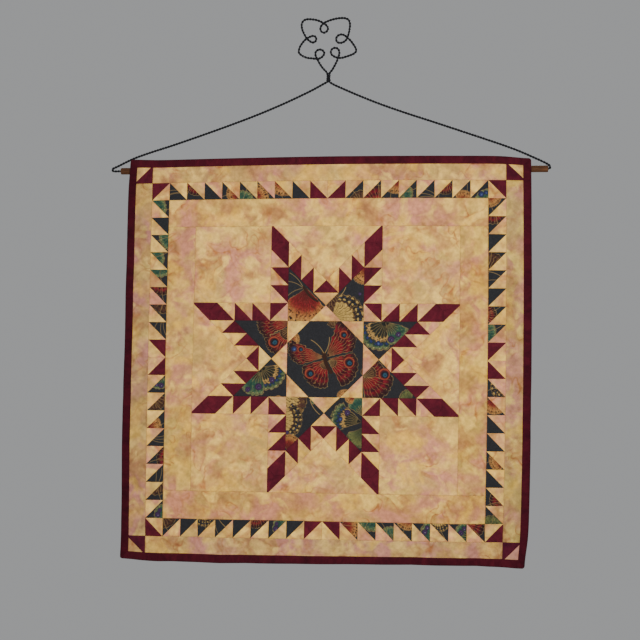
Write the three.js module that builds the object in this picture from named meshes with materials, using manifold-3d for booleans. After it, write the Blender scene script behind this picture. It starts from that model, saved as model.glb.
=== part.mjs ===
// A feathered-star wall quilt on a dowel, hung from a hanger bent out of one twisted wire.
// Millimetres, +Z up, X to the right, the quilt's front faces -Y and its back faces the wall.
// The origin is the hanging point: the inside top of the small loop at the top of the wire flower.

import * as THREE from 'three';
import { mergeVertices } from 'three/addons/utils/BufferGeometryUtils.js';
import Module from 'manifold-3d';

const wasm = await Module();
wasm.setup();

// ---- driving dimensions ----

const GAP = 0.3;                  // air left between neighbouring pieces
const UNIT = 25.4;                // one finished half-square patch is one inch
const QUILT_X = 6.5;              // the quilt's centre from the hanging point
const QUILT_Z = -486.5;
const QUILT_HALF_WIDTH = 289;
const QUILT_HALF_HEIGHT = 288;
const CORNER_RADIUS = 5;
const BINDING_WIDTH = 10.6;
const BINDING_CLOTH = 0.4;

// Layers of the quilt, back to front, as the y of each layer's back and its thickness.
const LAYER = {
  bindingBack: { y: -5.1, depth: BINDING_CLOTH },
  backing: { y: -5.8, depth: 0.4 },
  batting: { y: -6.5, depth: 1.8 },
  top: { y: -8.6, depth: 0.6 },
  bindingFront: { y: -9.5, depth: BINDING_CLOTH },
};

// Star pattern, in units. The centre square holds the octagon, and a star point is a kite.
const CENTRE_HALF = 1.5 * Math.SQRT2;
const OCTAGON_HALF_SIDE = CENTRE_HALF * Math.tan(Math.PI / 8);
const KITE_SIDE = 3;
const FEATHER_OUT = CENTRE_HALF + 1;
const POINT_TIP = CENTRE_HALF + KITE_SIDE;
const FEATHER_END = POINT_TIP + 1;
const DIAMOND_SIDE = Math.SQRT2;
const BLOCK_HALF = 7.45;          // the seams around the block take a little off the tips
const SAWTOOTH_IN = 9;
const SAWTOOTH_OUT = 10;

const DOWEL_RADIUS = 4.76;
const DOWEL_LEFT = -297.5;
const DOWEL_RIGHT = 322.5;
const DOWEL_Z = QUILT_Z + QUILT_HALF_HEIGHT - 14.5;
const DOWEL_CHAMFER = 0.7;
const BORE_RADIUS = 2;
const BORE_DEPTH = 34;

const SLEEVE_HALF_LENGTH = 262.5;
const SLEEVE_CLOTH = 0.5;
const SLEEVE_SLACK = 0.24;        // between the dowel and the cloth that lies on it
const SLEEVE_HEIGHT = 44;         // from the dowel's axis to the lower seam
const SLEEVE_FLAT = 14;           // the part of the sleeve's back that lies flat on the wall

const WIRE_RADIUS = 1.3;          // two strands twisted together measure 2.6 mm across
const WIRE_SIDES = 8;
const CROSSING = 1.5;             // half the distance between two wires that cross
const NECK_X = 7.3;
const NECK_TOP = -72.5;
const NECK_BOTTOM = -84;
const NECK_RADIUS = WIRE_RADIUS + GAP / 2;
const NECK_LEAD = 1.2;            // straight stretch of wire on each side of the neck's top
const PIN_LENGTH = 17;            // how far each wire end reaches into the dowel

// ---- materials ----

const COLOURS = {
  batik: 0xd8b890,
  burgundy: 0x5c1b27,
  print: 0x33302f,
  batting: 0xf1ece0,
  wood: 0x8b6547,
  wire: 0x15161b,
};

function makeMaterial(kind) {
  const metal = kind === 'wire';
  return new THREE.MeshStandardMaterial({
    color: COLOURS[kind],
    roughness: metal ? 0.45 : 0.85,
    metalness: metal ? 0.6 : 0,
  });
}

const model = new THREE.Group();
const hanger = new THREE.Group();
const quilt = new THREE.Group();
quilt.position.set(QUILT_X, 0, QUILT_Z);
model.add(hanger, quilt);

function addMesh(group, name, geometry, kind) {
  const mesh = new THREE.Mesh(geometry, makeMaterial(kind));
  mesh.name = name;
  group.add(mesh);
  return mesh;
}

// ---- wire hanger ----

// Route of the flower, as x, z and the y that lets the wire pass over itself.
const FLOWER_ROUTE = [
  // up from the neck into the lower left loop
  [NECK_X - NECK_RADIUS, NECK_TOP], [NECK_X - NECK_RADIUS, NECK_TOP + NECK_LEAD],
  [-1, -63.5, 1], [-5.5, -57, CROSSING], [-9, -50.5, CROSSING],
  [-11.8, -45, CROSSING], [-12, -41], [-9.5, -37.5], [-5.5, -36.2], [-1, -38], [1, -42],
  [-0.5, -45.5, -1], [-4, -49, -CROSSING], [-9.5, -50.3, -CROSSING],
  // lower left petal
  [-17, -49.5, -CROSSING], [-24.5, -48], [-32, -44.5], [-36, -40.7], [-36.3, -37.5], [-35, -32.5],
  [-30.5, -25, 0.5], [-25.2, -19.3, CROSSING],
  // left loop
  [-21, -17, CROSSING], [-16.7, -16], [-12.7, -17], [-11, -20.7], [-12.5, -24.3], [-16.5, -25.7],
  [-21, -23.5, -1], [-25, -19.7, -CROSSING],
  // upper left petal
  [-29, -12.5, -CROSSING], [-32, -5], [-32.5, 1.5], [-30.5, 6], [-26.5, 8.4], [-20, 8.7],
  [-12, 7.5], [-5.5, 5.5, 1], [0, 2.5, CROSSING],
  // top loop, which hangs on the wall
  [4, -0.8, CROSSING], [6, -5], [4.3, -9.5], [0.5, -11.5], [-3.5, -9.7], [-5.2, -5],
  [-3.2, -0.8, -1], [0.3, 2.3, -CROSSING],
  // upper right petal
  [5, 4.5, -CROSSING], [11.5, 7.4], [18.5, 9], [26, 9.7], [32, 9], [36.3, 6.3], [38, 1],
  [37.6, -6.5], [36, -14, 1], [34, -19.5, CROSSING],
  // right loop
  [30.3, -24.3, CROSSING], [24.5, -27], [19.7, -25.5], [18, -21], [20.3, -16.5], [25, -14.5],
  [30.3, -16, -1], [34, -19.4, -CROSSING],
  // right petal
  [38, -23, -CROSSING], [43.3, -29.5], [46.8, -35.5], [47.3, -39.3], [45, -42.3], [39.5, -45],
  [32, -47.3, 0.5], [26, -48.5, CROSSING], [21.5, -48.3, CROSSING],
  // lower right loop and down to the neck
  [15.5, -46.5, CROSSING], [11.3, -43.3], [10.5, -39.7], [12.3, -35.8], [16.5, -34], [20.8, -35.6],
  [22.8, -39.7], [22.7, -44.5, -1], [21.3, -48.8, -CROSSING], [20, -53, -CROSSING], [17.5, -58, -1],
  [13, -66], [NECK_X + NECK_RADIUS, NECK_TOP + NECK_LEAD], [NECK_X + NECK_RADIUS, NECK_TOP],
];

// Routes of the arms below the neck, down to the bend over each end of the dowel.
const LEFT_ARM_ROUTE = [
  [-1, -87.6], [-16, -95.8], [-56.5, -114.8], [-97.5, -131.8], [-138.5, -147], [-180, -161.5],
  [-221, -175.3], [-256, -186.3], [-277, -193.7], [-291, -200], [-302, -205.5],
];
const RIGHT_ARM_ROUTE = [
  [13, -86.8], [33.5, -96.5], [74.5, -114], [115, -129], [155.5, -142.7], [195.5, -156.4],
  [235.5, -170.2], [262, -179.6], [283, -187.8], [302, -196.4], [312, -201],
];
const LEFT_HOOK_ROUTE = [
  [-303, -206], [-307.5, -208], [-310, -209.3], [-310.6, -211.4], [-308.5, DOWEL_Z],
  [-303, DOWEL_Z], [DOWEL_LEFT + PIN_LENGTH, DOWEL_Z],
];
const RIGHT_HOOK_ROUTE = [
  [313, -201.5], [319.5, -204.8], [323.6, -207.4], [325.4, -210], [324.6, -212.3],
  [321.5, DOWEL_Z], [DOWEL_RIGHT - PIN_LENGTH, DOWEL_Z],
];

// A round wire along a route of [x, z, y] points, with a fixed number of rings between two points.
function makeWire(route, ringsPerSpan) {
  const points = route.map(([x, z, y = 0]) => new THREE.Vector3(x, y, z));
  const curve = new THREE.CatmullRomCurve3(points, false, 'centripetal');
  curve.getUtoTmapping = (u) => u;
  const section = new THREE.Shape();
  for (let side = 0; side < WIRE_SIDES; side += 1) {
    const angle = (side / WIRE_SIDES) * 2 * Math.PI;
    const x = WIRE_RADIUS * Math.cos(angle);
    const y = WIRE_RADIUS * Math.sin(angle);
    if (side === 0) {
      section.moveTo(x, y);
    } else {
      section.lineTo(x, y);
    }
  }
  return new THREE.ExtrudeGeometry(section, {
    steps: (points.length - 1) * ringsPerSpan,
    extrudePath: curve,
    bevelEnabled: false,
  });
}

// One turn of the neck, where the two sides of the wire wind round each other.
function neckTurn(startAngle) {
  const spans = 12;
  const route = [[NECK_X + NECK_RADIUS * Math.cos(startAngle), NECK_TOP - GAP]];
  for (let i = 0; i <= spans; i += 1) {
    const angle = startAngle + (i / spans) * 2 * Math.PI;
    const z = THREE.MathUtils.lerp(NECK_TOP - GAP - NECK_LEAD, NECK_BOTTOM, i / spans);
    route.push([NECK_X + NECK_RADIUS * Math.cos(angle), z, NECK_RADIUS * Math.sin(angle)]);
  }
  return route;
}

function buildHanger() {
  addMesh(hanger, 'flower_wire', makeWire(FLOWER_ROUTE, 2), 'wire');
  addMesh(hanger, 'left_arm', makeWire([...neckTurn(Math.PI), ...LEFT_ARM_ROUTE], 1), 'wire');
  addMesh(hanger, 'right_arm', makeWire([...neckTurn(0), ...RIGHT_ARM_ROUTE], 1), 'wire');
  addMesh(hanger, 'left_hook', makeWire(LEFT_HOOK_ROUTE, 3), 'wire');
  addMesh(hanger, 'right_hook', makeWire(RIGHT_HOOK_ROUTE, 3), 'wire');
}

// ---- dowel, with a blind hole in each end for the wire ----

function buildDowel() {
  const half = (DOWEL_RIGHT - DOWEL_LEFT) / 2;
  const profile = [
    [0, BORE_DEPTH - half],
    [BORE_RADIUS, BORE_DEPTH - half],
    [BORE_RADIUS, -half],
    [DOWEL_RADIUS - DOWEL_CHAMFER, -half],
    [DOWEL_RADIUS, DOWEL_CHAMFER - half],
    [DOWEL_RADIUS, half - DOWEL_CHAMFER],
    [DOWEL_RADIUS - DOWEL_CHAMFER, half],
    [BORE_RADIUS, half],
    [BORE_RADIUS, half - BORE_DEPTH],
    [0, half - BORE_DEPTH],
  ];
  const geometry = new THREE.LatheGeometry(profile.map(([r, y]) => new THREE.Vector2(r, y)), 24);
  const dowel = addMesh(model, 'dowel', geometry, 'wood');
  dowel.rotation.z = -Math.PI / 2;
  dowel.position.set((DOWEL_LEFT + DOWEL_RIGHT) / 2, 0, DOWEL_Z);
}

// ---- hanging sleeve, a flat tube of cloth sewn across the back of the quilt ----

// Section of the sleeve in y and z from the dowel's axis: round over the dowel, flat at the back,
// then tapering to the lower seam.
function sleeveOutline(reach, bottom, seamWidth) {
  const outline = new THREE.Path();
  outline.moveTo(-reach, bottom);
  outline.lineTo(seamWidth - reach, bottom);
  outline.lineTo(reach, -SLEEVE_FLAT);
  outline.absarc(0, 0, reach, 0, Math.PI);
  return outline.getPoints(6);
}

function buildSleeve() {
  const inside = DOWEL_RADIUS + SLEEVE_SLACK;
  const seam = 4 * SLEEVE_CLOTH;
  const outside = sleeveOutline(inside + SLEEVE_CLOTH, -SLEEVE_HEIGHT, seam);
  const hollow = sleeveOutline(inside, SLEEVE_CLOTH - SLEEVE_HEIGHT, seam - 2 * SLEEVE_CLOTH);
  const shape = new THREE.Shape(outside);
  shape.holes.push(new THREE.Path(hollow));
  const geometry = new THREE.ExtrudeGeometry(shape, {
    depth: 2 * SLEEVE_HALF_LENGTH,
    bevelEnabled: false,
  });
  geometry.translate(0, 0, -SLEEVE_HALF_LENGTH);
  // The section's first axis becomes Y, its second Z, and the length runs along X.
  geometry.applyMatrix4(new THREE.Matrix4().makeBasis(
    new THREE.Vector3(0, 1, 0),
    new THREE.Vector3(0, 0, 1),
    new THREE.Vector3(1, 0, 0),
  ));
  const sleeve = addMesh(quilt, 'hanging_sleeve', geometry, 'batik');
  sleeve.position.set(0, 0, DOWEL_Z - QUILT_Z);
}

// ---- flat pieces of the quilt ----

// An outline moved in by the given distance on every side. Points run anticlockwise.
function insetOutline(points, distance) {
  return points.map((point, i) => {
    const before = points[(i + points.length - 1) % points.length];
    const after = points[(i + 1) % points.length];
    const edgeIn = point.clone().sub(before).normalize();
    const edgeOut = after.clone().sub(point).normalize();
    const normalIn = new THREE.Vector2(-edgeIn.y, edgeIn.x);
    const normalOut = new THREE.Vector2(-edgeOut.y, edgeOut.x);
    const mitre = normalIn.clone().add(normalOut);
    return point.clone().addScaledVector(mitre, distance / (1 + normalIn.dot(normalOut)));
  });
}

// A plate of one layer, standing upright, with its outline in x and z.
function makePlate(outline, layer) {
  const geometry = new THREE.ExtrudeGeometry(new THREE.Shape(outline), {
    depth: layer.depth,
    bevelEnabled: false,
  });
  geometry.rotateX(Math.PI / 2);
  geometry.translate(0, layer.y, 0);
  return geometry;
}

function roundedOutline(halfWidth, halfHeight, radius) {
  const outline = new THREE.Path();
  const x = halfWidth - radius;
  const z = halfHeight - radius;
  outline.absarc(x, z, radius, 0, Math.PI / 2);
  outline.absarc(-x, z, radius, Math.PI / 2, Math.PI);
  outline.absarc(-x, -z, radius, Math.PI, 1.5 * Math.PI);
  outline.absarc(x, -z, radius, 1.5 * Math.PI, 2 * Math.PI);
  return outline.getPoints(4);
}

function addPatch(name, outline, kind) {
  const points = outline.map(([x, z]) => new THREE.Vector2(x * UNIT, z * UNIT));
  if (THREE.ShapeUtils.area(points) < 0) {
    points.reverse();
  }
  addMesh(quilt, name, makePlate(insetOutline(points, GAP / 2), LAYER.top), kind);
}

function turned(outline, degrees) {
  const angle = THREE.MathUtils.degToRad(degrees);
  const cos = Math.cos(angle);
  const sin = Math.sin(angle);
  return outline.map(([x, z]) => [x * cos - z * sin, x * sin + z * cos]);
}

function mirrored(outline) {
  return outline.map(([x, z]) => [-x, z]);
}

// The octagon and the eight small triangles around it, as one sixteen-cornered star.
function buildStarCentre() {
  const side = [[-CENTRE_HALF, CENTRE_HALF], [-OCTAGON_HALF_SIDE, CENTRE_HALF], [0, KITE_SIDE],
    [OCTAGON_HALF_SIDE, CENTRE_HALF]];
  const outline = [0, 1, 2, 3].flatMap((quarter) => turned(side, -90 * quarter));
  addPatch('star_centre', outline, 'print');
}

// Pieces that repeat all round the star: the left one of each pair and its mirror image.
function buildStarPairs() {
  const kite = [[-CENTRE_HALF, POINT_TIP], [-CENTRE_HALF, CENTRE_HALF],
    [-OCTAGON_HALF_SIDE, CENTRE_HALF], [0, KITE_SIDE]];
  const cut = POINT_TIP + DIAMOND_SIDE + 1 - BLOCK_HALF;
  const diamond = [[-CENTRE_HALF, POINT_TIP], [-CENTRE_HALF, POINT_TIP + DIAMOND_SIDE],
    [cut - FEATHER_OUT, BLOCK_HALF], [-FEATHER_OUT, BLOCK_HALF], [-FEATHER_OUT, FEATHER_END]];
  for (let quarter = 0; quarter < 4; quarter += 1) {
    const angle = -90 * quarter;
    const number = 2 * quarter + 1;
    addPatch(`star_point_${number}`, turned(kite, angle), 'print');
    addPatch(`star_point_${number + 1}`, turned(mirrored(kite), angle), 'print');
    addPatch(`tip_diamond_${number}`, turned(diamond, angle), 'burgundy');
    addPatch(`tip_diamond_${number + 1}`, turned(mirrored(diamond), angle), 'burgundy');
  }
}

// V-shaped strips of feathers, from the top left corner clockwise, one every 45 degrees.
function buildFeathers() {
  const strip = [[-CENTRE_HALF, CENTRE_HALF], [-CENTRE_HALF, POINT_TIP], [-FEATHER_OUT, FEATHER_END],
    [-FEATHER_OUT, FEATHER_OUT], [-FEATHER_END, FEATHER_OUT], [-POINT_TIP, CENTRE_HALF]];
  for (let i = 0; i < 8; i += 1) {
    addPatch(`feather_strip_${i + 1}`, turned(strip, -45 * i), 'burgundy');
  }
}

function buildBackground() {
  const square = [[-FEATHER_OUT, FEATHER_OUT], [-FEATHER_OUT, BLOCK_HALF],
    [-BLOCK_HALF, BLOCK_HALF], [-BLOCK_HALF, FEATHER_OUT]];
  const apex = FEATHER_OUT * Math.SQRT2;
  const triangle = [[0, apex], [BLOCK_HALF - apex, BLOCK_HALF], [apex - BLOCK_HALF, BLOCK_HALF]];
  for (let quarter = 0; quarter < 4; quarter += 1) {
    addPatch(`corner_square_${quarter + 1}`, turned(square, -90 * quarter), 'batik');
    addPatch(`side_triangle_${quarter + 1}`, turned(triangle, -90 * quarter), 'batik');
  }
}

// A band round the quilt: the top and bottom strips run the full width, the sides fit between.
function buildBand(name, inner, outer, kind) {
  const across = [[-outer, inner], [outer, inner], [outer, outer], [-outer, outer]];
  const between = [[-outer, -inner], [-inner, -inner], [-inner, inner], [-outer, inner]];
  addPatch(`${name}_top`, across, kind);
  addPatch(`${name}_bottom`, turned(across, 180), kind);
  addPatch(`${name}_left`, between, kind);
  addPatch(`${name}_right`, turned(between, 180), kind);
}

// The outer border runs under the binding, and its corners are trimmed to fit inside it.
function buildOuterBorder() {
  const inner = SAWTOOTH_OUT;
  const edge = BINDING_CLOTH + GAP;
  const width = (QUILT_HALF_WIDTH - edge) / UNIT;
  const height = (QUILT_HALF_HEIGHT - edge) / UNIT;
  const trim = 3 / UNIT;
  const across = [[-width, inner], [width, inner], [width, height - trim],
    [width - trim, height], [trim - width, height], [-width, height - trim]];
  const between = [[-width, -inner], [-inner, -inner], [-inner, inner], [-width, inner]];
  addPatch('outer_border_top', across, 'batik');
  addPatch('outer_border_bottom', turned(across, 180), 'batik');
  addPatch('outer_border_left', between, 'batik');
  addPatch('outer_border_right', turned(between, 180), 'batik');
}

function buildLayers() {
  const edge = BINDING_CLOTH + GAP;
  const outline = roundedOutline(
    QUILT_HALF_WIDTH - edge,
    QUILT_HALF_HEIGHT - edge,
    CORNER_RADIUS - edge,
  );
  addMesh(quilt, 'backing', makePlate(outline, LAYER.backing), 'batik');
  addMesh(quilt, 'batting', makePlate(outline, LAYER.batting), 'batting');
}

// ---- binding, a channel of cloth folded round the quilt's edge ----

function toSolid(geometry) {
  const bare = geometry.clone();
  bare.deleteAttribute('normal');
  bare.deleteAttribute('uv');
  const merged = mergeVertices(bare, 1e-4);
  return new wasm.Manifold(new wasm.Mesh({
    numProp: 3,
    vertProperties: new Float32Array(merged.attributes.position.array),
    triVerts: new Uint32Array(merged.index.array),
  }));
}

function toGeometry(solid) {
  const mesh = solid.getMesh();
  const geometry = new THREE.BufferGeometry();
  geometry.setAttribute('position', new THREE.BufferAttribute(mesh.vertProperties, 3));
  geometry.setIndex(new THREE.BufferAttribute(mesh.triVerts, 1));
  geometry.computeVertexNormals();
  return geometry;
}

function slab(halfWidth, halfHeight, radius, back, front) {
  const outline = roundedOutline(halfWidth, halfHeight, radius);
  return toSolid(makePlate(outline, { y: back, depth: back - front }));
}

function buildBinding() {
  const back = LAYER.bindingBack.y;
  const front = LAYER.bindingFront.y - LAYER.bindingFront.depth;
  const past = 1;
  const whole = slab(QUILT_HALF_WIDTH, QUILT_HALF_HEIGHT, CORNER_RADIUS, back, front);
  const inside = slab(
    QUILT_HALF_WIDTH - BINDING_CLOTH,
    QUILT_HALF_HEIGHT - BINDING_CLOTH,
    CORNER_RADIUS - BINDING_CLOTH,
    back - BINDING_CLOTH,
    front + BINDING_CLOTH,
  );
  const windowOpening = slab(
    QUILT_HALF_WIDTH - BINDING_WIDTH,
    QUILT_HALF_HEIGHT - BINDING_WIDTH,
    1,
    back + past,
    front - past,
  );
  const channel = whole.subtract(inside).subtract(windowOpening);
  // Each side is what one quarter of the frame, cut along the mitres, keeps of the channel.
  const out = QUILT_HALF_HEIGHT + 12;
  const depth = 40;
  const quarter = [[out, out], [-out, out], [-out + depth, out - depth], [out - depth, out - depth]];
  const shift = QUILT_HALF_WIDTH - QUILT_HALF_HEIGHT;
  ['top', 'right', 'bottom', 'left'].forEach((side, i) => {
    const points = turned(quarter, -90 * i).map(([x, z]) => (
      new THREE.Vector2(x + Math.sign(x) * shift, z)
    ));
    const layer = { y: back + past, depth: back - front + 2 * past };
    const wedge = toSolid(makePlate(insetOutline(points, GAP / 2), layer));
    addMesh(quilt, `binding_${side}`, toGeometry(channel.intersect(wedge)), 'burgundy');
  });
}

buildHanger();
buildDowel();
buildSleeve();
buildLayers();
buildStarCentre();
buildStarPairs();
buildFeathers();
buildBackground();
buildBand('frame_strip', BLOCK_HALF, SAWTOOTH_IN, 'batik');
buildBand('sawtooth', SAWTOOTH_IN, SAWTOOTH_OUT, 'print');
buildOuterBorder();
buildBinding();

export default model;
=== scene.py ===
import math

import bpy
import numpy as np
from mathutils import Matrix, Vector


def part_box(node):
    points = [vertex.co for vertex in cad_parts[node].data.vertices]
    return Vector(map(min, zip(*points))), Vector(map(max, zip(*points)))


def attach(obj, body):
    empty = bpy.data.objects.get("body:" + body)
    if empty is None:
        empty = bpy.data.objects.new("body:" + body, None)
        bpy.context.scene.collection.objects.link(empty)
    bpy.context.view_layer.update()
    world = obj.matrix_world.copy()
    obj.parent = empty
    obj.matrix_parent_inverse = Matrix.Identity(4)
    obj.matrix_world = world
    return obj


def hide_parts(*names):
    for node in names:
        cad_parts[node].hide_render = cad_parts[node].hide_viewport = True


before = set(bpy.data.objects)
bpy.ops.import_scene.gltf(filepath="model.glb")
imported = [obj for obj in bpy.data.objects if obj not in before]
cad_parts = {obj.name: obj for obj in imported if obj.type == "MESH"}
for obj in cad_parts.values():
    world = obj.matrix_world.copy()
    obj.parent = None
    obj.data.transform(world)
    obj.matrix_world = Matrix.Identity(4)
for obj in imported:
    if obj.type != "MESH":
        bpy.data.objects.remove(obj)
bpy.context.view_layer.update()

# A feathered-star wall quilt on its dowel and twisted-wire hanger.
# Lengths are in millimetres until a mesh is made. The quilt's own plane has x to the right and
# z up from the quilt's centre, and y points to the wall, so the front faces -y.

METRE = 1000.0


def cad_box(node):
    """Lowest and highest corners of a CAD node, in millimetres."""
    low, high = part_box(node)
    return np.array(low) * METRE, np.array(high) * METRE


# ---- sizes from the frame ----

BATTING_LOW, BATTING_HIGH = cad_box("batting")
CENTRE = (BATTING_LOW + BATTING_HIGH) / 2
HALF_WIDTH = cad_box("binding_right")[1][0] - CENTRE[0]
HALF_HEIGHT = cad_box("binding_top")[1][2] - CENTRE[2]
BINDING_WIDTH = cad_box("binding_top")[1][2] - cad_box("binding_top")[0][2]
DOWEL_LOW, DOWEL_HIGH = cad_box("dowel")
DOWEL_Z = (DOWEL_LOW[2] + DOWEL_HIGH[2]) / 2
DOWEL_RADIUS = (DOWEL_HIGH[2] - DOWEL_LOW[2]) / 2
SLEEVE_LOW, SLEEVE_HIGH = cad_box("hanging_sleeve")
GAP = 0.3                                   # air between neighbouring CAD pieces
SAWTOOTH_LOW, SAWTOOTH_HIGH = cad_box("sawtooth_top")
SAWTOOTH_PATCHES = 20                       # along its top side, with the corner patches
UNIT = (SAWTOOTH_HIGH[0] - SAWTOOTH_LOW[0] + GAP) / SAWTOOTH_PATCHES
CORNER_RADIUS = 2.5

# Surfaces of the quilt from front to back, as y.
SEAM_Y = cad_box("star_centre")[0][1] + 0.3     # the bottom of a seam on the front
SKIRT_Y = cad_box("star_centre")[1][1] + 0.2    # where a patch's turned edge ends
BACK_Y = cad_box("backing")[1][1] + 0.1

PUFF = 0.55             # how far the batting lifts a patch above its seams
PUFF_REACH = 2.4        # over which distance from the seam it rises
RUMPLE, RUMPLE_SIZE = 0.12, 9.0     # how uneven the puffed cloth is, and over which distance
QUILTING_SPACING = 25.4
QUILTING_DEPTH = 0.55
QUILTING_REACH = 1.5    # how far from the thread the cloth is pulled in
QUILTING_PAINTED_SHADE = 0.12   # painted shade: how much darker the cloth's colour is made where the thread pulls it into a groove
STEP = 1.5           # size of a plain patch's faces
PRINT_STEP = 0.6     # and of a printed one's, whose points carry the print

# Star pattern, in units of one finished half-square patch. Places are from the quilt's centre.
HALF = 1.5 * math.sqrt(2)                   # where the centre square's sides are
SNUB = HALF * math.tan(math.pi / 8)         # half a side of the octagon in it
KITE = 3.0                                  # long side of a star point, and where two points meet
OUT = HALF + 1                              # where the feathers' outer side is
TIP = HALF + KITE                           # where a star point meets its tip diamond
END = TIP + 1                               # where the feathers end
DIAMOND = math.sqrt(2)                      # side of a tip diamond
BLOCK = 7.45                                # where the star block's sides are
SAW_IN, SAW_OUT = 9.0, 10.0                 # and the sawtooth's inner and outer sides

# ---- how the quilt hangs ----

# The quilt is a few millimetres out of square. These are the shifts, as x and z, of its corners,
# the middles of its sides and its centre, from top left to bottom right.
SHIFT = [[(-0.5, -1.5), (2.5, 3.5), (2.0, 2.0)],
         [(-5.0, 0.5), (0.0, -0.5), (4.0, -0.5)],
         [(-6.0, -5.5), (-3.0, -5.0), (0.5, -2.5)]]
# The outward pull of the binding at the two ends of each side: left and right, or bottom and top.
CORNER_PULLS = {"top": (2.0, -3.0), "bottom": (-2.5, 2.0), "left": (1.0, -2.0), "right": (-4.0, 0.0)}
PULL_LENGTH = 30.0      # how far along the side a corner's pull is felt
HEM_WAVE = 1.3          # the hem hangs lower left of the middle and higher right of it
WAVE_REACH = 16.0       # how far in from the edge the cloth still follows its wave
LEAN = 8.0              # the hem lies this much nearer to the wall than the top
GRID = 32               # cells along one side of the simulated cloth
HELD_BELOW = 14.0       # how far below the dowel's middle the sleeve still holds the cloth
HANG_STEPS = 45         # frames that the simulation runs
HANG_LIMIT = 5.0        # the furthest that a point may move in it
START_WAVE, START_WAVE_SIZE = 2.0, 110.0    # the unevenness of the cloth that it starts from

# For each side of the quilt: whether it stands upright, and the sign of its x or z.
SIDES = {"top": (False, 1), "right": (True, 1), "bottom": (False, -1), "left": (True, -1)}


def table(*columns):
    """Arrays or numbers as the columns of one table, such as the x, y and z of points."""
    return np.stack([column.ravel() for column in np.broadcast_arrays(*columns)], axis=1)


def grid_faces(columns, rows):
    """Quads of a grid whose points run along x first, facing -y."""
    i, j = np.meshgrid(np.arange(columns), np.arange(rows))
    a = (j * (columns + 1) + i).ravel()
    return np.stack([a, a + 1, a + columns + 2, a + columns + 1], axis=1)


def smooth_noise(x, z, scale, seed):
    """Value noise from -1 to 1, with cells of the given size."""
    values = np.random.default_rng(seed).uniform(-1, 1, (64, 64))
    u, v = x / scale + 1000.0, z / scale + 1000.0
    i, j = np.floor(u).astype(int), np.floor(v).astype(int)
    fu, fv = u - i, v - j
    fu, fv = fu * fu * (3 - 2 * fu), fv * fv * (3 - 2 * fv)
    i, j, next_i, next_j = i % 64, j % 64, (i + 1) % 64, (j + 1) % 64
    low = values[i, j] * (1 - fu) + values[next_i, j] * fu
    high = values[i, next_j] * (1 - fu) + values[next_i, next_j] * fu
    return low * (1 - fv) + high * fv


def simulate_hang():
    """Hang the quilt from its sleeve as cloth, and return how far each grid point moves, in mm."""
    side = np.linspace(-1, 1, GRID + 1)
    u, v = (a.ravel() for a in np.meshgrid(side, side))
    flat = table(u * HALF_WIDTH, 0, v * HALF_HEIGHT)
    start = flat.copy()
    start[:, 1] = START_WAVE * smooth_noise(flat[:, 0], flat[:, 2], START_WAVE_SIZE, 5)
    mesh = bpy.data.meshes.new("hanging")
    mesh.from_pydata((start / METRE).tolist(), [], grid_faces(GRID, GRID).tolist())
    cloth = bpy.data.objects.new("hanging", mesh)
    bpy.context.collection.objects.link(cloth)
    held = np.nonzero(flat[:, 2] > DOWEL_Z - CENTRE[2] - HELD_BELOW)[0]
    cloth.vertex_groups.new(name="sleeve").add(held.tolist(), 1.0, "REPLACE")
    settings = cloth.modifiers.new("cloth", "CLOTH").settings
    settings.quality = 8
    settings.mass = 0.03
    settings.tension_stiffness = settings.compression_stiffness = 30
    settings.shear_stiffness = 20
    settings.bending_stiffness = 0.2
    settings.air_damping = 2
    settings.vertex_group_mass = "sleeve"
    for step in range(1, HANG_STEPS + 1):
        bpy.context.scene.frame_set(step)
    shown = cloth.evaluated_get(bpy.context.evaluated_depsgraph_get()).data
    moved = np.array([vertex.co for vertex in shown.vertices]) * METRE - flat
    bpy.context.scene.frame_set(1)
    bpy.data.objects.remove(cloth, do_unlink=True)
    return np.clip(moved, -HANG_LIMIT, HANG_LIMIT).reshape(GRID + 1, GRID + 1, 3)


HANG = simulate_hang()


def hang(points):
    """Points of the flat quilt, moved to where they hang."""
    x, _, z = points.T
    u, v = x / HALF_WIDTH, z / HALF_HEIGHT
    out = points.copy()
    across = (u * (u - 1) / 2, 1 - u * u, u * (u + 1) / 2)
    down = (v * (v + 1) / 2, 1 - v * v, v * (v - 1) / 2)
    for share_z, row in zip(down, SHIFT):
        for share_x, (shift_x, shift_z) in zip(across, row):
            out[:, 0] += share_x * share_z * shift_x
            out[:, 2] += share_x * share_z * shift_z
    for side, (low, high) in CORNER_PULLS.items():
        upright, sign = SIDES[side]
        along, half_side = (z, HALF_HEIGHT) if upright else (x, HALF_WIDTH)
        inward = HALF_WIDTH - sign * x if upright else HALF_HEIGHT - sign * z
        pull = (low * np.exp(-((along + half_side) / PULL_LENGTH) ** 2)
                + high * np.exp(-((along - half_side) / PULL_LENGTH) ** 2))
        if side == "bottom":
            pull -= HEM_WAVE * np.sin(math.tau * x / (2 * HALF_WIDTH))
        out[:, 0 if upright else 2] += sign * pull * np.exp(-(np.maximum(inward, 0) / WAVE_REACH) ** 2)
    out[:, 1] += LEAN * np.clip((DOWEL_Z - CENTRE[2] - z) / (2 * HALF_HEIGHT), 0, 1)
    # What the simulated cloth did between its grid points.
    gu, gv = np.clip((u + 1) / 2, 0, 1) * GRID, np.clip((v + 1) / 2, 0, 1) * GRID
    i, j = np.minimum(gu.astype(int), GRID - 1), np.minimum(gv.astype(int), GRID - 1)
    fu, fv = (gu - i)[:, None], (gv - j)[:, None]
    out += ((HANG[j, i] * (1 - fu) + HANG[j, i + 1] * fu) * (1 - fv)
            + (HANG[j + 1, i] * (1 - fu) + HANG[j + 1, i + 1] * fu) * fv)
    return out


# ---- meshes ----

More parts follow.
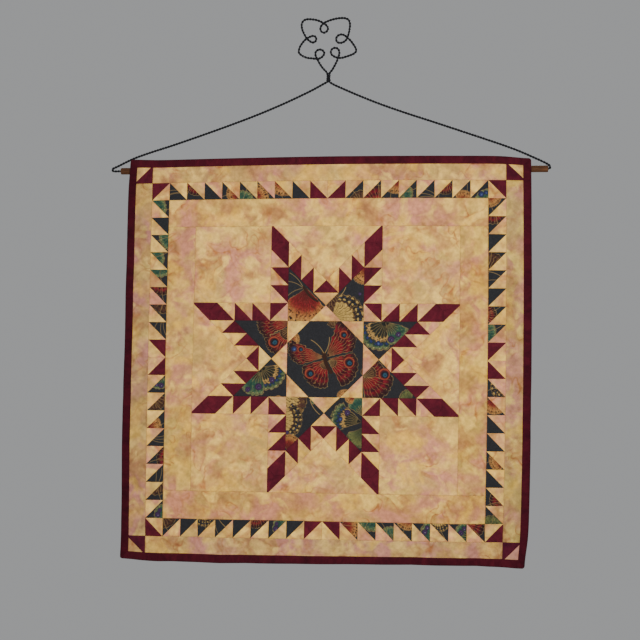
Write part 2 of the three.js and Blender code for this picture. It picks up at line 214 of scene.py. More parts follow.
def make_object(name, points, faces, materials, ids=None, cloth=None, tint=None, flat=None):
    """A mesh object from points in mm in the object's frame. ids picks each face's material. cloth
    is where each point lies on its cloth, tint multiplies its colour, and flat faces aren't smooth."""
    mesh = bpy.data.meshes.new(name)
    mesh.from_pydata((np.asarray(points) / METRE).tolist(), [], [list(f) for f in faces])
    for material in materials:
        mesh.materials.append(material)
    if ids is not None:
        mesh.polygons.foreach_set("material_index", np.asarray(ids, dtype=np.int32))
    if cloth is not None:
        for title, kind, field, values in (("cloth_co", "FLOAT_VECTOR", "vector", cloth / METRE),
                                           ("tint", "FLOAT_COLOR", "color", tint)):
            attribute = mesh.attributes.new(title, kind, "POINT")
            attribute.data.foreach_set(field, np.asarray(values, dtype=np.float32).ravel())
    smooth = np.ones(len(mesh.polygons), dtype=bool) if flat is None else ~np.asarray(flat)
    mesh.polygons.foreach_set("use_smooth", smooth)
    mesh.update()
    thing = bpy.data.objects.new(name, mesh)
    bpy.context.collection.objects.link(thing)
    return thing


def declare(piece, nodes, slot, body, **sheet):
    """Hide the CAD nodes that a piece stands for, and attach the piece to the body it rides. The slot and
    the cloth's sheet are not used.
    """
    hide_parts(*nodes)
    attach(piece, body)


def place(points):
    """Points of the quilt's own plane in the object's frame."""
    return hang(points) + [CENTRE[0], 0, CENTRE[2]]


def triangle_grid(corners, step):
    """Points and faces over a triangle. The next two do the same for four corners and for more."""
    a, b, c = (np.array(p, float) for p in corners)
    longest = max(np.linalg.norm(a - b), np.linalg.norm(b - c), np.linalg.norm(c - a))
    n = max(3, math.ceil(longest / step))
    index, points, faces = {}, [], []
    for i in range(n + 1):
        for j in range(n + 1 - i):
            index[i, j] = len(points)
            points.append(a + (b - a) * (i / n) + (c - a) * (j / n))
    for i in range(n):
        for j in range(n - i):
            faces.append((index[i, j], index[i + 1, j], index[i, j + 1]))
            if i + j < n - 1:
                faces.append((index[i + 1, j], index[i + 1, j + 1], index[i, j + 1]))
    return np.array(points), faces


def quad_grid(corners, step):
    a, b, c, d = (np.array(p, float) for p in corners)
    n = max(3, math.ceil(max(np.linalg.norm(b - a), np.linalg.norm(c - d)) / step))
    m = max(3, math.ceil(max(np.linalg.norm(d - a), np.linalg.norm(c - b)) / step))
    s, t = (w.ravel()[:, None] for w in np.meshgrid(np.linspace(0, 1, n + 1),
                                                    np.linspace(0, 1, m + 1)))
    points = (a * (1 - s) + b * s) * (1 - t) + (d * (1 - s) + c * s) * t
    return points, [tuple(f) for f in grid_faces(n, m)]


def fan_grid(corners, step):
    centre = np.mean(corners, axis=0)
    points, faces = np.zeros((0, 2)), []
    for i, corner in enumerate(corners):
        more, more_faces = triangle_grid((centre, corner, corners[(i + 1) % len(corners)]), step)
        faces += [tuple(k + len(points) for k in f) for f in more_faces]
        points = np.concatenate([points, more])
    _, first, back = np.unique(points.round(3), axis=0, return_index=True, return_inverse=True)
    back = back.ravel()
    return points[first], [tuple(back[list(f)]) for f in faces]


def signed_area(corners):
    """An outline's area, above zero where it runs anticlockwise."""
    x, z = np.array(corners).T
    return np.sum(x * np.roll(z, -1) - np.roll(x, -1) * z) / 2


def edge_distance(points, corners):
    """How far points inside a convex outline are from its nearest side."""
    nearest = np.full(len(points), 1e9)
    for i, corner in enumerate(corners):
        a, b = np.array(corner), np.array(corners[(i + 1) % len(corners)])
        along = (b - a) / np.linalg.norm(b - a)
        offset = points - a
        nearest = np.minimum(nearest, np.abs(along[0] * offset[:, 1] - along[1] * offset[:, 0]))
    return nearest


def quilting_groove(x, z):
    """How deep the crossed lines of quilting pull the cloth in, from 0 to 1."""
    deepest = np.zeros_like(x)
    for across in ((x + z) / math.sqrt(2), (x - z) / math.sqrt(2)):
        offset = np.abs(across / QUILTING_SPACING % 1 - 0.5) * QUILTING_SPACING
        deepest = np.maximum(deepest, np.exp(-offset / QUILTING_REACH))
    return deepest


def rim_edges(faces):
    """The rim's points, and each rim edge as its two points and their places in the rim."""
    edges = {}
    for f in faces:
        for a, b in zip(f, f[1:] + f[:1]):
            if (b, a) in edges:
                del edges[b, a]
            else:
                edges[a, b] = True
    rim = sorted({k for edge in edges for k in edge})
    order = {k: i for i, k in enumerate(rim)}
    return rim, [(a, b, order[a], order[b]) for a, b in edges]


def patch(outline, cloth, motifs, seed, shade):
    """One patch, from its outline in units, as points, places on the cloth, tints, front and sides."""
    corners = [np.array(p) * UNIT for p in (outline if signed_area(outline) > 0 else outline[::-1])]
    maker = {3: triangle_grid, 4: quad_grid}.get(len(corners), fan_grid)
    flat, front = maker(corners, STEP if motifs is None else PRINT_STEP)
    x, z = flat.T
    rise = PUFF * (1 - np.exp(-edge_distance(flat, corners) / PUFF_REACH))
    if cloth == BATIK:
        rise -= QUILTING_DEPTH * quilting_groove(x, z) * rise / PUFF
    rise += RUMPLE * smooth_noise(x, z, RUMPLE_SIZE, 3) * rise / PUFF
    rim, edges = rim_edges(front)
    points = table(x, SEAM_Y - rise, z)
    points = np.concatenate([points, points[rim]])
    points[len(flat):, 1] = SKIRT_Y
    sides = [(b, a, len(flat) + rim_a, len(flat) + rim_b) for a, b, rim_a, rim_b in edges]
    # Each patch is cut from its own place on the cloth, and the plain ones turned at random.
    rng = np.random.default_rng(seed)
    turn, shift = rng.uniform(0, 2 * math.pi), rng.uniform(-900, 900, 3)
    if cloth == PRINT:
        turn = 0
    x, z = points[:, 0], points[:, 2]
    place_on_cloth = table(x * math.cos(turn) - z * math.sin(turn) + shift[0], shift[1],
                           x * math.sin(turn) + z * math.cos(turn) + shift[2])
    # The tint starts as the shade given for the piece, which is painted shade on the frame strips and the
    # outer border.
    tint = even_tint(points, shade)
    # Painted shade: the batik's colour is darkened along the quilting grooves, where the thread pulls the
    # cloth in.
    if cloth == BATIK:
        tint[:, :3] *= 1 - QUILTING_PAINTED_SHADE * quilting_groove(x, z)[:, None]
    if motifs is not None:
        tint[:, :3] = paint_print(points[:, [0, 2]], motifs, seed)
    return points, place_on_cloth, tint, front, sides


def even_tint(points, shade=(1, 1, 1)):
    """The same multiplier of the cloth's colour at every point."""
    return np.tile([*shade, 1.0], (len(points), 1))


def add_patches(node, slot, patches, seed, shade=(1, 1, 1)):
    """The seed differs for every node, and with it where each patch lies on the cloth."""
    parts, faces, ids, flat = [], [], [], []
    area = count = 0
    for number, (outline, cloth, motifs) in enumerate(patches):
        *part, front, sides = patch(outline, cloth, motifs, seed * 100 + number, shade)
        faces += [tuple(k + count for k in f) for f in front + sides]
        ids += [cloth] * (len(front) + len(sides))
        flat += [False] * len(front) + [True] * len(sides)
        count += len(part[0])
        area += abs(signed_area(outline)) * UNIT ** 2
        parts.append(part)
    points, on_cloth, tint = (np.concatenate(part) for part in zip(*parts))
    piece = make_object(f"{node}_cloth", place(points), faces, TOP_MATERIALS, ids, on_cloth, tint, flat)
    low, high = cad_box(node)
    size = [(high[0] - low[0] + GAP) / METRE, (high[2] - low[2] + GAP) / METRE]
    declare(piece, [node], slot, "quilt", flat=size, held="hung", rests_on=["batting_layer"],
            area=min(area / METRE ** 2, size[0] * size[1]))


# ---- the printed cloth: butterflies on a charcoal ground ----

def srgb(red, green, blue):
    """A colour given from 0 to 255, as linear light."""
    part = np.array([red, green, blue]) / 255
    return np.where(part <= 0.04045, part / 12.92, ((part + 0.055) / 1.055) ** 2.4)


GROUND = srgb(38, 38, 40)
GOLD = srgb(138, 112, 68)
BODY = srgb(48, 32, 26)
SOFT = 0.4              # over which distance in mm a painted line's edge fades
# Each wing's colours run from its base to its margin. Its veins are a number, a colour, a width in
# mm and the share of the wing's reach where they start and stop. Its spots are rows between the
# veins, each at a share of the reach, with a size and a colour. Its streaks are a colour and how
# strongly short strokes of it run out over the wing.
WINGS = {
    "red": {
        "stops": [(0, (42, 30, 27)), (0.15, (58, 28, 28)), (0.3, (92, 24, 30)), (0.5, (110, 23, 32)),
                  (0.62, (50, 24, 28)), (0.74, (100, 25, 32)), (0.86, (50, 27, 29)), (1, (38, 29, 29))],
        "veins": (8, (136, 98, 60), 0.42, 0.1, 0.95), "scallop": 0.05, "spots": [],
        "streaks": ((44, 26, 28), 0.5)},
    "fritillary": {
        "stops": [(0, (50, 34, 28)), (0.16, (78, 31, 30)), (0.45, (104, 30, 32)), (0.58, (116, 44, 35)),
                  (0.68, (140, 86, 48)), (0.9, (156, 112, 60)), (1, (104, 66, 42))],
        "veins": (12, (74, 36, 30), 0.5, 0.2, 0.7), "scallop": 0.03,
        "spots": [(0.73, 0.2, (50, 32, 27)), (0.88, 0.3, (42, 30, 27))],
        "streaks": ((60, 33, 29), 0.45)},
    "green": {
        "stops": [(0, (30, 30, 28)), (0.3, (37, 37, 33)), (0.42, (40, 50, 41)), (0.6, (41, 70, 55)),
                  (0.74, (36, 58, 50)), (0.86, (54, 78, 57)), (0.95, (86, 94, 61)), (1, (58, 64, 47))],
        "veins": (7, (120, 102, 62), 0.45, 0.16, 0.6), "scallop": 0.05,
        "spots": [(0.9, 0.12, (130, 118, 74))], "streaks": ((84, 92, 58), 0.45)},
    "olive": {
        "stops": [(0, (38, 38, 31)), (0.5, (62, 66, 42)), (0.84, (90, 92, 52)), (1, (54, 54, 40))],
        "veins": (6, (60, 60, 42), 0.4, 0.2, 0.9), "scallop": 0.04, "spots": [],
        "streaks": ((46, 56, 42), 0.5)},
    "banded": {
        "stops": [(0, (30, 30, 28)), (0.4, (35, 35, 32)), (0.54, (46, 42, 34)), (0.58, (150, 118, 66)),
                  (0.68, (146, 112, 62)), (0.72, (38, 41, 42)), (0.82, (34, 46, 46)),
                  (0.88, (60, 78, 56)), (0.95, (92, 96, 61)), (1, (58, 62, 46))],
        "veins": (7, (120, 102, 62), 0.45, 0.16, 0.56), "scallop": 0.05,
        "spots": [(0.64, 0.16, (50, 46, 40)), (0.78, 0.24, (38, 44, 80)), (0.93, 0.12, (140, 124, 76))],
        "streaks": ((44, 46, 38), 0.6)},
    "cream": {
        "stops": [(0, (56, 42, 32)), (0.1, (96, 76, 46)), (0.17, (160, 130, 68)),
                  (0.64, (160, 130, 70)), (0.68, (66, 46, 36)), (0.74, (38, 35, 34)),
                  (0.9, (38, 36, 35)), (1, (44, 37, 33))],
        "veins": (8, (56, 44, 34), 0.6, 0.1, 0.66), "scallop": 0.04,
        "spots": [(0.78, 0.2, (148, 122, 66)), (0.85, 0.12, (44, 52, 76)), (0.93, 0.2, (148, 120, 66))],
        "streaks": ((104, 80, 48), 0.4)},
    "pale": {
        "stops": [(0, (56, 42, 32)), (0.1, (96, 76, 46)), (0.17, (160, 130, 68)), (0.76, (158, 128, 70)),
                  (0.8, (70, 46, 36)), (0.94, (62, 42, 35)), (1, (44, 36, 32))],
        "veins": (7, (50, 40, 32), 0.8, 0.1, 0.8), "scallop": 0.04, "spots": [],
        "streaks": ((104, 80, 48), 0.4)},
    "brown": {
        "stops": [(0, (38, 29, 26)), (0.5, (52, 34, 30)), (0.8, (68, 44, 34)), (0.93, (50, 35, 30)),
                  (1, (40, 32, 29))],
        "veins": (6, (128, 104, 64), 0.42, 0.12, 0.9), "scallop": 0.05,
        "spots": [(0.74, 0.2, (42, 33, 29))], "streaks": ((84, 60, 42), 0.35)},
}
# Rings of an eye spot, from the outside in: the share of its radius and the colour.
EYES = {
    "peacock": [(1, (60, 32, 29)), (0.95, (128, 58, 41)), (0.74, (72, 30, 30)), (0.58, (30, 29, 35)),
                (0.36, (38, 66, 80)), (0.12, (30, 38, 48))],
    "violet": [(1, (44, 36, 50)), (0.7, (64, 41, 72)), (0.44, (36, 31, 52)), (0.16, (104, 90, 112))],
    "blue": [(1, (36, 38, 58)), (0.6, (44, 52, 90)), (0.24, (74, 86, 118))],
}


def blend_in(colour, shade, share):
    """Lay a shade over the colour, as far as share from 0 to 1."""
    share = np.clip(share, 0, 1)[:, None]
    colour[:] = colour * (1 - share) + shade * share


def paint_wing(colour, points, wing, base, heading, spread, reach, lean=0.0, seed=0):
    """Paint a fan-shaped wing: base in mm, heading and spread in degrees, reach in mm.
    lean makes the side that is anticlockwise of the heading longer than the other."""
    style = WINGS[wing]
    count, vein_colour, vein_width, vein_start, vein_end = style["veins"]
    wobble = smooth_noise(points[:, 0], points[:, 1], 3.1, seed)
    offset = points - np.array(base, float)
    distance = np.hypot(offset[:, 0], offset[:, 1])
    angle = np.arctan2(offset[:, 1], offset[:, 0]) + 0.05 * wobble
    turn = (angle - math.radians(heading) + math.pi) % (2 * math.pi) - math.pi
    half = math.radians(spread / 2)
    across = turn / half
    cell = (across + 1) / 2 * count
    in_cell = np.abs(cell % 1 - 0.5) * 2             # 0 between veins, 1 on a vein
    edge = reach * (1 + lean * across - 0.12 * across ** 2 - style["scallop"] * in_cell ** 2)
    share = distance / edge
    level = np.clip(share + style["scallop"] * (in_cell ** 2 - 0.4) + 0.03 * wobble, 0, 1)
    stops = np.array([stop for stop, _ in style["stops"]])
    shades = np.array([srgb(*shade) for _, shade in style["stops"]])
    paint = np.stack([np.interp(level, stops, shades[:, k]) for k in range(3)], axis=1)
    grain = smooth_noise(across * 60, distance, 2.4, seed + 7)
    paint *= (1 + 0.35 * grain)[:, None]
    stroke = smooth_noise(turn * reach * 2.6, distance, 3.6, seed + 11)
    shade, strength = style["streaks"]
    blend_in(paint, srgb(*shade), (stroke - 0.3) / 0.25 * (share > 0.18) * strength)
    cell_width = np.maximum(distance, 3) * 2 * half / count
    for ring, size, shade in style["spots"]:
        away = np.hypot(in_cell * cell_width / 2, (share - ring) * edge)
        blend_in(paint, srgb(*shade), (size * cell_width - away) / 0.6 + 0.5)
    from_vein = (1 - in_cell) / 2 * cell_width
    on_vein = np.clip((vein_width / 2 - from_vein) / SOFT + 0.6, 0, 1)
    on_vein *= (share > vein_start) & (share < vein_end) & (np.abs(across) < 0.97)
    blend_in(paint, srgb(*vein_colour), on_vein * (0.8 + 0.2 * wobble))
    inside = (np.abs(across) < 1) & (share < 1)
    colour[inside] = paint[inside]
    to_margin = np.minimum(np.abs(share - 1) * edge, np.abs(np.abs(across) - 1) * half * distance)
    rim = (0.5 - to_margin) / SOFT * (np.abs(across) < 1.05) * (share < 1.03) * (distance > 1.5)
    blend_in(colour, GOLD, np.clip(rim, 0, 1) * (0.6 + 0.4 * wobble))


def paint_eye(colour, points, kind, at, radius, seed):
    """Paint an eye spot of rings that widen towards one side."""
    wobble = smooth_noise(points[:, 0], points[:, 1], 2.5, seed + 2)
    offset = points - np.array(at, float)
    for share, shade in EYES[kind]:
        aside = radius * (1 - share) * 0.22
        away = np.hypot(offset[:, 0] - aside, offset[:, 1] + aside) + 0.5 * wobble
        blend_in(colour, srgb(*shade), (share * radius - away) / 0.5 + 0.5)


def paint_line(colour, points, start, end, width=0.8, shade=GOLD):
    """Paint a line that bows a little to one side."""
    a, b = np.array(start, float), np.array(end, float)
    bow = np.array([b[1] - a[1], a[0] - b[0]]) * 0.08
    along = np.clip(((points - a) @ (b - a)) / np.sum((b - a) ** 2), 0, 1)
    path = a + along[:, None] * (b - a) + (along * (1 - along) * 4)[:, None] * bow
    away = np.hypot(*(points - path).T)
    blend_in(colour, shade, (width / 2 - away) / SOFT + 0.5)


def paint_print(points, motifs, seed):
    """The print's colour at points in mm, as motifs on the charcoal ground."""
    shade = 1 + 0.14 * smooth_noise(points[:, 0], points[:, 1], 1.3, seed)
    colour = GROUND * shade[:, None]
    for motif in motifs:
        kind, values = motif[0], motif[1:]
        if kind == "line":
            paint_line(colour, points, *values)
        elif kind in EYES:
            paint_eye(colour, points, kind, *values, seed)
        else:
            paint_wing(colour, points, kind, *values, seed=seed)
    return colour


# What the octagon and each star point show. A wing is its kind, base in mm from the quilt's centre,
# heading, spread, reach and lean. An eye spot is its kind, centre and radius, and a line is its
# start, end, width and colour.
OCTAGON_MOTIFS = [
    ("fritillary", (-60, 26), 8, 50, 24), ("brown", (14, 66), -100, 50, 22),
    ("fritillary", (36, -66), 120, 50, 26), ("brown", (66, -18), 175, 44, 15),
    ("red", (3, 0), 234, 78, 43, 0.05), ("red", (4, 0), -24, 76, 46, -0.06),
    ("red", (0, 3), 175, 44, 52, -0.14), ("red", (2, 3), 44, 60, 54, 0.14),
    ("brown", (4, -1), 240, 60, 14), ("brown", (4, -1), -30, 60, 14),
    ("peacock", (-21, -20), 7.5), ("peacock", (34, -4), 8.2),
    ("peacock", (26, 35), 6.2), ("peacock", (-35, 14), 5), ("blue", (-44, 14), 4),
    ("line", (0, 6), (-3, 9), 4.4, BODY), ("line", (-1, 7), (9, -18), 5.5, BODY),
    ("line", (-2, 9), (-20, 27)), ("line", (0, 9), (6, 31)),
]
POINT_MOTIFS = {
    1: [("fritillary", (-28, 101), -96, 100, 56), ("line", (-33, 101), (-54, 110), 0.5),
        ("line", (-34, 100), (-55, 89), 0.5), ("line", (-33, 102), (-52, 122), 0.5),
        ("line", (-32, 102), (-12, 82), 3.4, BODY)],
    2: [("brown", (2, 100), -62, 62, 36), ("fritillary", (72, 142), 225, 50, 44),
        ("olive", (48, 42), 95, 60, 22), ("cream", (8, 58), 26, 92, 47, -0.13),
        ("line", (18, 88), (28, 102)), ("violet", (48, 93), 2.6)],
    3: [("green", (85, 54), -48, 66, 37), ("banded", (85, 54), -126, 90, 44),
        ("violet", (93, 29), 5), ("violet", (103, 36), 4), ("blue", (75, 23), 3.6)],
    4: [("red", (52, -20), -42, 76, 46, 0.1), ("red", (58, -26), 48, 90, 30),
        ("brown", (53, -26), 36, 60, 22), ("peacock", (84, -20), 8.5),
        ("olive", (124, -64), 120, 60, 24)],
    5: [("green", (58, -82), 118, 60, 33), ("banded", (54, -88), 168, 62, 45),
        ("fritillary", (46, -46), 225, 50, 20), ("olive", (60, -94), 232, 60, 34),
        ("violet", (33, -75), 4.4), ("blue", (23, -84), 3.6)],
    6: [("pale", (-74, -48), -22, 54, 52), ("cream", (-69, -84), -10, 104, 39),
        ("fritillary", (-50, -132), 84, 70, 26), ("green", (-22, -52), -50, 30, 14),
        ("line", (-20, -58), (-6, -78)), ("violet", (-52, -104), 3)],
    7: [("green", (-90, -13), 243, 68, 42), ("banded", (-90, -12), -38, 92, 37),
        ("violet", (-94, -40), 5), ("violet", (-109, -44), 4), ("violet", (-75, -30), 4.4),
        ("fritillary", (-66, -64), 80, 70, 12)],
    8: [("red", (-50, 44), 230, 56, 44), ("red", (-44, 52), 183, 52, 54),
        ("brown", (-46, 44), 218, 60, 21), ("peacock", (-73, 24), 8.5)],
}
# What shows in each dark triangle of the sawtooth border, from left to right or top to bottom. A mark
# after a word says which side of the triangle the wing comes in from. It stops about halfway across.
SAWTOOTH_PRINTS = {
    "top": "gold red^ black fritillary> greenv fritillary fritillary^ black plum plum brownv red "
           "fritillary^ green< gold red^ fritillaryv bluev",
    "bottom": "brown^ black cream^ gold black red^ violet> black plum plum fritillary green^ greenv "
              "fritillary^ violet> cream^ violet red",
    "left": "green< black green> green< green^ red^ brown^ gold plum plum violet^ brown fritillary< "
            "gold red> gold brown^ violet>",
    "right": "fritillary^ red^ black brown gold black red< green< plum plum cream> fritillary black "
             "black fritillary> black red> olivev",
}
HEADINGS = {"^": -90, "v": 90, "<": 0, ">": 180}


def tooth_motifs(word, corners, seed):
    """What crosses one small triangle: part of a wing, a few gold lines or nothing."""
    rng = np.random.default_rng(seed)
    middle = np.mean(corners, axis=0) * UNIT
    heading = rng.uniform(0, 360)
    begins = rng.uniform(0.6, 0.8)
    if word[-1] in HEADINGS:
        heading = HEADINGS[word[-1]] + rng.uniform(-30, 30)
        begins = rng.uniform(0.84, 0.94)
        word = word[:-1]
    ahead = np.array([math.cos(math.radians(heading)), math.sin(math.radians(heading))])
    aside = np.array([-ahead[1], ahead[0]])
    lines = [("line", middle - 12 * ahead + k * aside,
              middle + 12 * ahead + rng.uniform(2, 4) * k * aside, 0.4) for k in rng.uniform(-4, 4, 3)]
    if word == "black":
        return []
    if word == "gold":
        return lines
    kind = {"blue": "green", "violet": "green"}.get(word, word)
    reach = rng.uniform(22, 34)
    wing = (kind, middle - ahead * reach * begins, heading, rng.uniform(70, 110), reach)
    eyes = [(word, middle - 2 * ahead + 3 * aside, 4.2), (word, middle - 4 * aside - 3 * ahead, 3.2)]
    return [wing] + (eyes if word in EYES else lines[:1])


# ---- materials ----

WEAVE_PITCH = 0.0005    # from thread to thread, in metres


class Nodes:
    """A material, with short ways to add and wire up its nodes."""

    def __init__(self, name, on_cloth=True):
        self.material = bpy.data.materials.new(name)
        self.material.use_nodes = True
        self.tree = self.material.node_tree
        self.shader = self.tree.nodes["Principled BSDF"]
        if on_cloth:
            self.where = self.add("ShaderNodeAttribute", attribute_name="cloth_co").outputs["Vector"]
        else:
            self.where = self.add("ShaderNodeTexCoord").outputs["Object"]

    def add(self, kind, **settings):
        node = self.tree.nodes.new(kind)
        for key, value in settings.items():
            setattr(node, key, value)
        return node

    def link(self, source, target):
        self.tree.links.new(source, target)

    def noise(self, scale, detail=3, distortion=0.0, roughness=0.5):
        node = self.add("ShaderNodeTexNoise")
        node.inputs["Scale"].default_value = scale
        node.inputs["Detail"].default_value = detail
        node.inputs["Distortion"].default_value = distortion
        node.inputs["Roughness"].default_value = roughness
        self.link(self.where, node.inputs["Vector"])
        return node.outputs["Fac"]

    def ramp(self, factor, stops):
        node = self.add("ShaderNodeValToRGB")
        elements = node.color_ramp.elements
        while len(elements) < len(stops):
            elements.new(0.5)
        for element, (position, colour) in zip(elements, stops):
            element.position = position
            element.color = (*colour, 1)
        self.link(factor, node.inputs["Fac"])
        return node.outputs["Color"]

    def grey(self, factor, start, full, low=0.0, high=1.0):
        """A grey that runs from low to high while the factor runs from start to full."""
        return self.ramp(factor, [(start, (low,) * 3), (full, (high,) * 3)])

    def mix(self, factor, a, b, blend="MIX"):
        node = self.add("ShaderNodeMix", data_type="RGBA", blend_type=blend)
        for socket, value in ((node.inputs[0], factor), (node.inputs[6], a), (node.inputs[7], b)):
            if isinstance(value, bpy.types.NodeSocket):
                self.link(value, socket)
            elif isinstance(value, (int, float)):
                socket.default_value = value
            else:
                socket.default_value = (*value, 1)
        return node.outputs[2]

    def times(self, a, b):
        return self.mix(1.0, a, b, "MULTIPLY")

    def weave(self):
        """Height of a plain weave, from two crossing sets of threads."""
        node = self.add("ShaderNodeMath", operation="MULTIPLY")
        for direction, height in zip(("X", "Z"), node.inputs):
            wave = self.add("ShaderNodeTexWave", bands_direction=direction)
            wave.inputs["Scale"].default_value = 0.314 / WEAVE_PITCH
            wave.inputs["Distortion"].default_value = 0.6
            wave.inputs["Detail"].default_value = 1
            self.link(self.where, wave.inputs["Vector"])
            self.link(wave.outputs["Fac"], height)
        return node.outputs[0]

    def ridge(self, factor, width):
        """White where a noise crosses its middle value, and black elsewhere."""
        below = self.add("ShaderNodeMath", operation="SUBTRACT")
        self.link(factor, below.inputs[0])
        below.inputs[1].default_value = 0.5
        away = self.add("ShaderNodeMath", operation="ABSOLUTE")
        self.link(below.outputs[0], away.inputs[0])
        return self.grey(away.outputs[0], 0, width, 1, 0)

    def bump(self, height, strength, distance, normal=None):
        node = self.add("ShaderNodeBump")
        node.inputs["Strength"].default_value = strength
        node.inputs["Distance"].default_value = distance
        self.link(height, node.inputs["Height"])
        if normal is not None:
            self.link(normal, node.inputs["Normal"])
        return node.outputs["Normal"]

    def finish(self, colour, roughness, normal=None, sheen=0.0, specular=0.3):
        self.link(colour, self.shader.inputs["Base Color"])
        if isinstance(roughness, float):
            self.shader.inputs["Roughness"].default_value = roughness
        else:
            self.link(roughness, self.shader.inputs["Roughness"])
        self.shader.inputs["Specular IOR Level"].default_value = specular
        self.shader.inputs["Sheen Weight"].default_value = sheen
        self.shader.inputs["Sheen Roughness"].default_value = 0.5
        if normal is not None:
            self.link(normal, self.shader.inputs["Normal"])
        return self.material

    def finish_cotton(self, colour, sheen, specular, creased=True):
        """Matt woven cotton, in a colour that the mesh's tint multiplies."""
        tint = self.add("ShaderNodeAttribute", attribute_name="tint").outputs["Color"]
        normal = self.bump(self.weave(), 0.25, 0.0002)
        if creased:
            normal = self.bump(self.noise(90), 0.25, 0.0006, normal)
        return self.finish(self.times(colour, tint), 0.88, normal, sheen, specular)


# Clouds of dye on the batik: the colour, the noise's scale and distortion, where on the noise the
# cloud starts and is full, and how strong it is there.
BATIK_CLOUDS = [
    ((204, 135, 107), 20, 0.5, 0.45, 0.58, 0.95),   # peach pink
    ((196, 161, 86), 17, 0.4, 0.5, 0.62, 0.7),      # khaki
    ((237, 192, 98), 36, 0.7, 0.52, 0.64, 0.9),     # pale yellow
    ((232, 180, 74), 28, 0.6, 0.53, 0.66, 0.75),    # golden yellow
]


def batik_material():
    """Hand-dyed cotton: cream and yellow clouds with peach, pink and tan."""
    nodes = Nodes("cream_batik")
    colour = nodes.ramp(nodes.noise(25, 5, 0.5), [
        (0.34, srgb(172, 119, 74)), (0.45, srgb(192, 140, 80)), (0.54, srgb(210, 162, 85)),
        (0.64, srgb(238, 193, 96))])
    for dye, scale, distortion, start, full, strength in BATIK_CLOUDS:
        cloud = nodes.grey(nodes.noise(scale, 4, distortion), start, full, 0, strength)
        colour = nodes.mix(cloud, colour, srgb(*dye))
    # Wandering ochre streaks and smudges, where the dye gathered in creases.
    crease = nodes.ridge(nodes.noise(36, 1.5, 1.0), 0.045)
    smudge = nodes.grey(nodes.noise(75, 3, 0.4), 0.52, 0.68, 0, 0.8)
    some = nodes.grey(nodes.noise(23, 2), 0.46, 0.66, 0, 0.75)
    ochre = nodes.times(nodes.mix(1.0, crease, smudge, "ADD"), some)
    colour = nodes.mix(ochre, colour, srgb(172, 108, 58))
    for scale, low, high in ((64, 0.84, 1.08), (170, 0.8, 1.12)):
        colour = nodes.times(colour, nodes.grey(nodes.noise(scale, 4), 0.32, 0.68, low, high))
    return nodes.finish_cotton(colour, 0.03, 0.1)


def burgundy_material():
    """Tone-on-tone cotton: wine red with darker and brighter clouds."""
    nodes = Nodes("burgundy_cloth")
    colour = nodes.ramp(nodes.noise(70, 5, 0.6, 0.62), [
        (0.3, srgb(62, 18, 28)), (0.5, srgb(77, 22, 33)), (0.72, srgb(92, 27, 38))])
    colour = nodes.times(colour, nodes.grey(nodes.noise(420), 0.3, 0.7, 0.86, 1.1))
    return nodes.finish_cotton(colour, 0.012, 0.06)


def print_material():
    """The printed cotton: its colours are painted on the mesh, and this adds a fine grain."""
    nodes = Nodes("butterfly_print")
    return nodes.finish_cotton(nodes.grey(nodes.noise(900), 0.3, 0.7, 0.8, 1.15), 0.008, 0.06, False)


def batting_material():
    nodes = Nodes("batting", on_cloth=False)
    colour = nodes.ramp(nodes.noise(300, 5), [(0.3, srgb(222, 214, 196)), (0.7, srgb(242, 238, 226))])
    return nodes.finish(colour, 0.95, nodes.bump(nodes.noise(700, 5), 0.8, 0.001), 0.3)


def wood_material():
    """Stained dowel: fine straight grain along X, with darker pores."""
    nodes = Nodes("dowel_wood", on_cloth=False)
    stretch = nodes.add("ShaderNodeMapping")
    stretch.inputs["Scale"].default_value = (0.05, 1, 1)
    nodes.link(nodes.where, stretch.inputs["Vector"])
    nodes.where = stretch.outputs["Vector"]
    grain = nodes.noise(1400, 6, 0.4, 0.6)
    colour = nodes.ramp(grain, [(0.32, srgb(47, 28, 16)), (0.5, srgb(75, 46, 27)),
                                (0.7, srgb(100, 64, 38))])
    colour = nodes.times(colour, nodes.grey(nodes.noise(160), 0.3, 0.7, 0.8, 1.12))
    return nodes.finish(colour, 0.75, nodes.bump(grain, 0.35, 0.0003), 0.0, 0.12)


def wire_material():
    """Black-coated wire: dull, with faint rubbed patches."""
    nodes = Nodes("black_wire", on_cloth=False)
    wear = nodes.noise(500, 4)
    colour = nodes.ramp(wear, [(0.4, srgb(8, 8, 12)), (0.75, srgb(18, 18, 24))])
    rough = nodes.grey(wear, 0.3, 0.7, 0.55, 0.75)
    return nodes.finish(colour, rough, nodes.bump(nodes.noise(1500), 0.2, 0.0002), 0, 0.22)


def floor_material():
    nodes = Nodes("floor", on_cloth=False)
    colour = nodes.ramp(nodes.noise(3, 2), [(0.3, (0.55, 0.55, 0.54)), (0.7, (0.58, 0.58, 0.57))])
    return nodes.finish(colour, 0.9)


BATIK, BURGUNDY, PRINT = 0, 1, 2        # places in the next list
TOP_MATERIALS = [batik_material(), burgundy_material(), print_material()]


# ---- the patchwork top ----

def turned(outline, degrees):
    c, s = math.cos(math.radians(degrees)), math.sin(math.radians(degrees))
    return [(x * c - z * s, x * s + z * c) for x, z in outline]


def mirrored(outline):
    return [(-x, z) for x, z in outline]


def swapped(outline):
    """Mirrored across the diagonal that runs through the top left corner."""
    return [(-z, -x) for x, z in outline]


def star_centre():
    octagon = [(-HALF, SNUB), (-SNUB, HALF), (SNUB, HALF), (HALF, SNUB),
               (HALF, -SNUB), (SNUB, -HALF), (-SNUB, -HALF), (-HALF, -SNUB)]
    corner = [(-HALF, HALF), (-SNUB, HALF), (-HALF, SNUB)]
    side = [(-SNUB, HALF), (SNUB, HALF), (0, KITE)]
    patches = [(octagon, PRINT, OCTAGON_MOTIFS)]
    for quarter in range(4):
        patches.append((turned(corner, -90 * quarter), BATIK, None))
        patches.append((turned(side, -90 * quarter), BATIK, None))
    add_patches("star_centre", "butterfly_print", patches, 1)


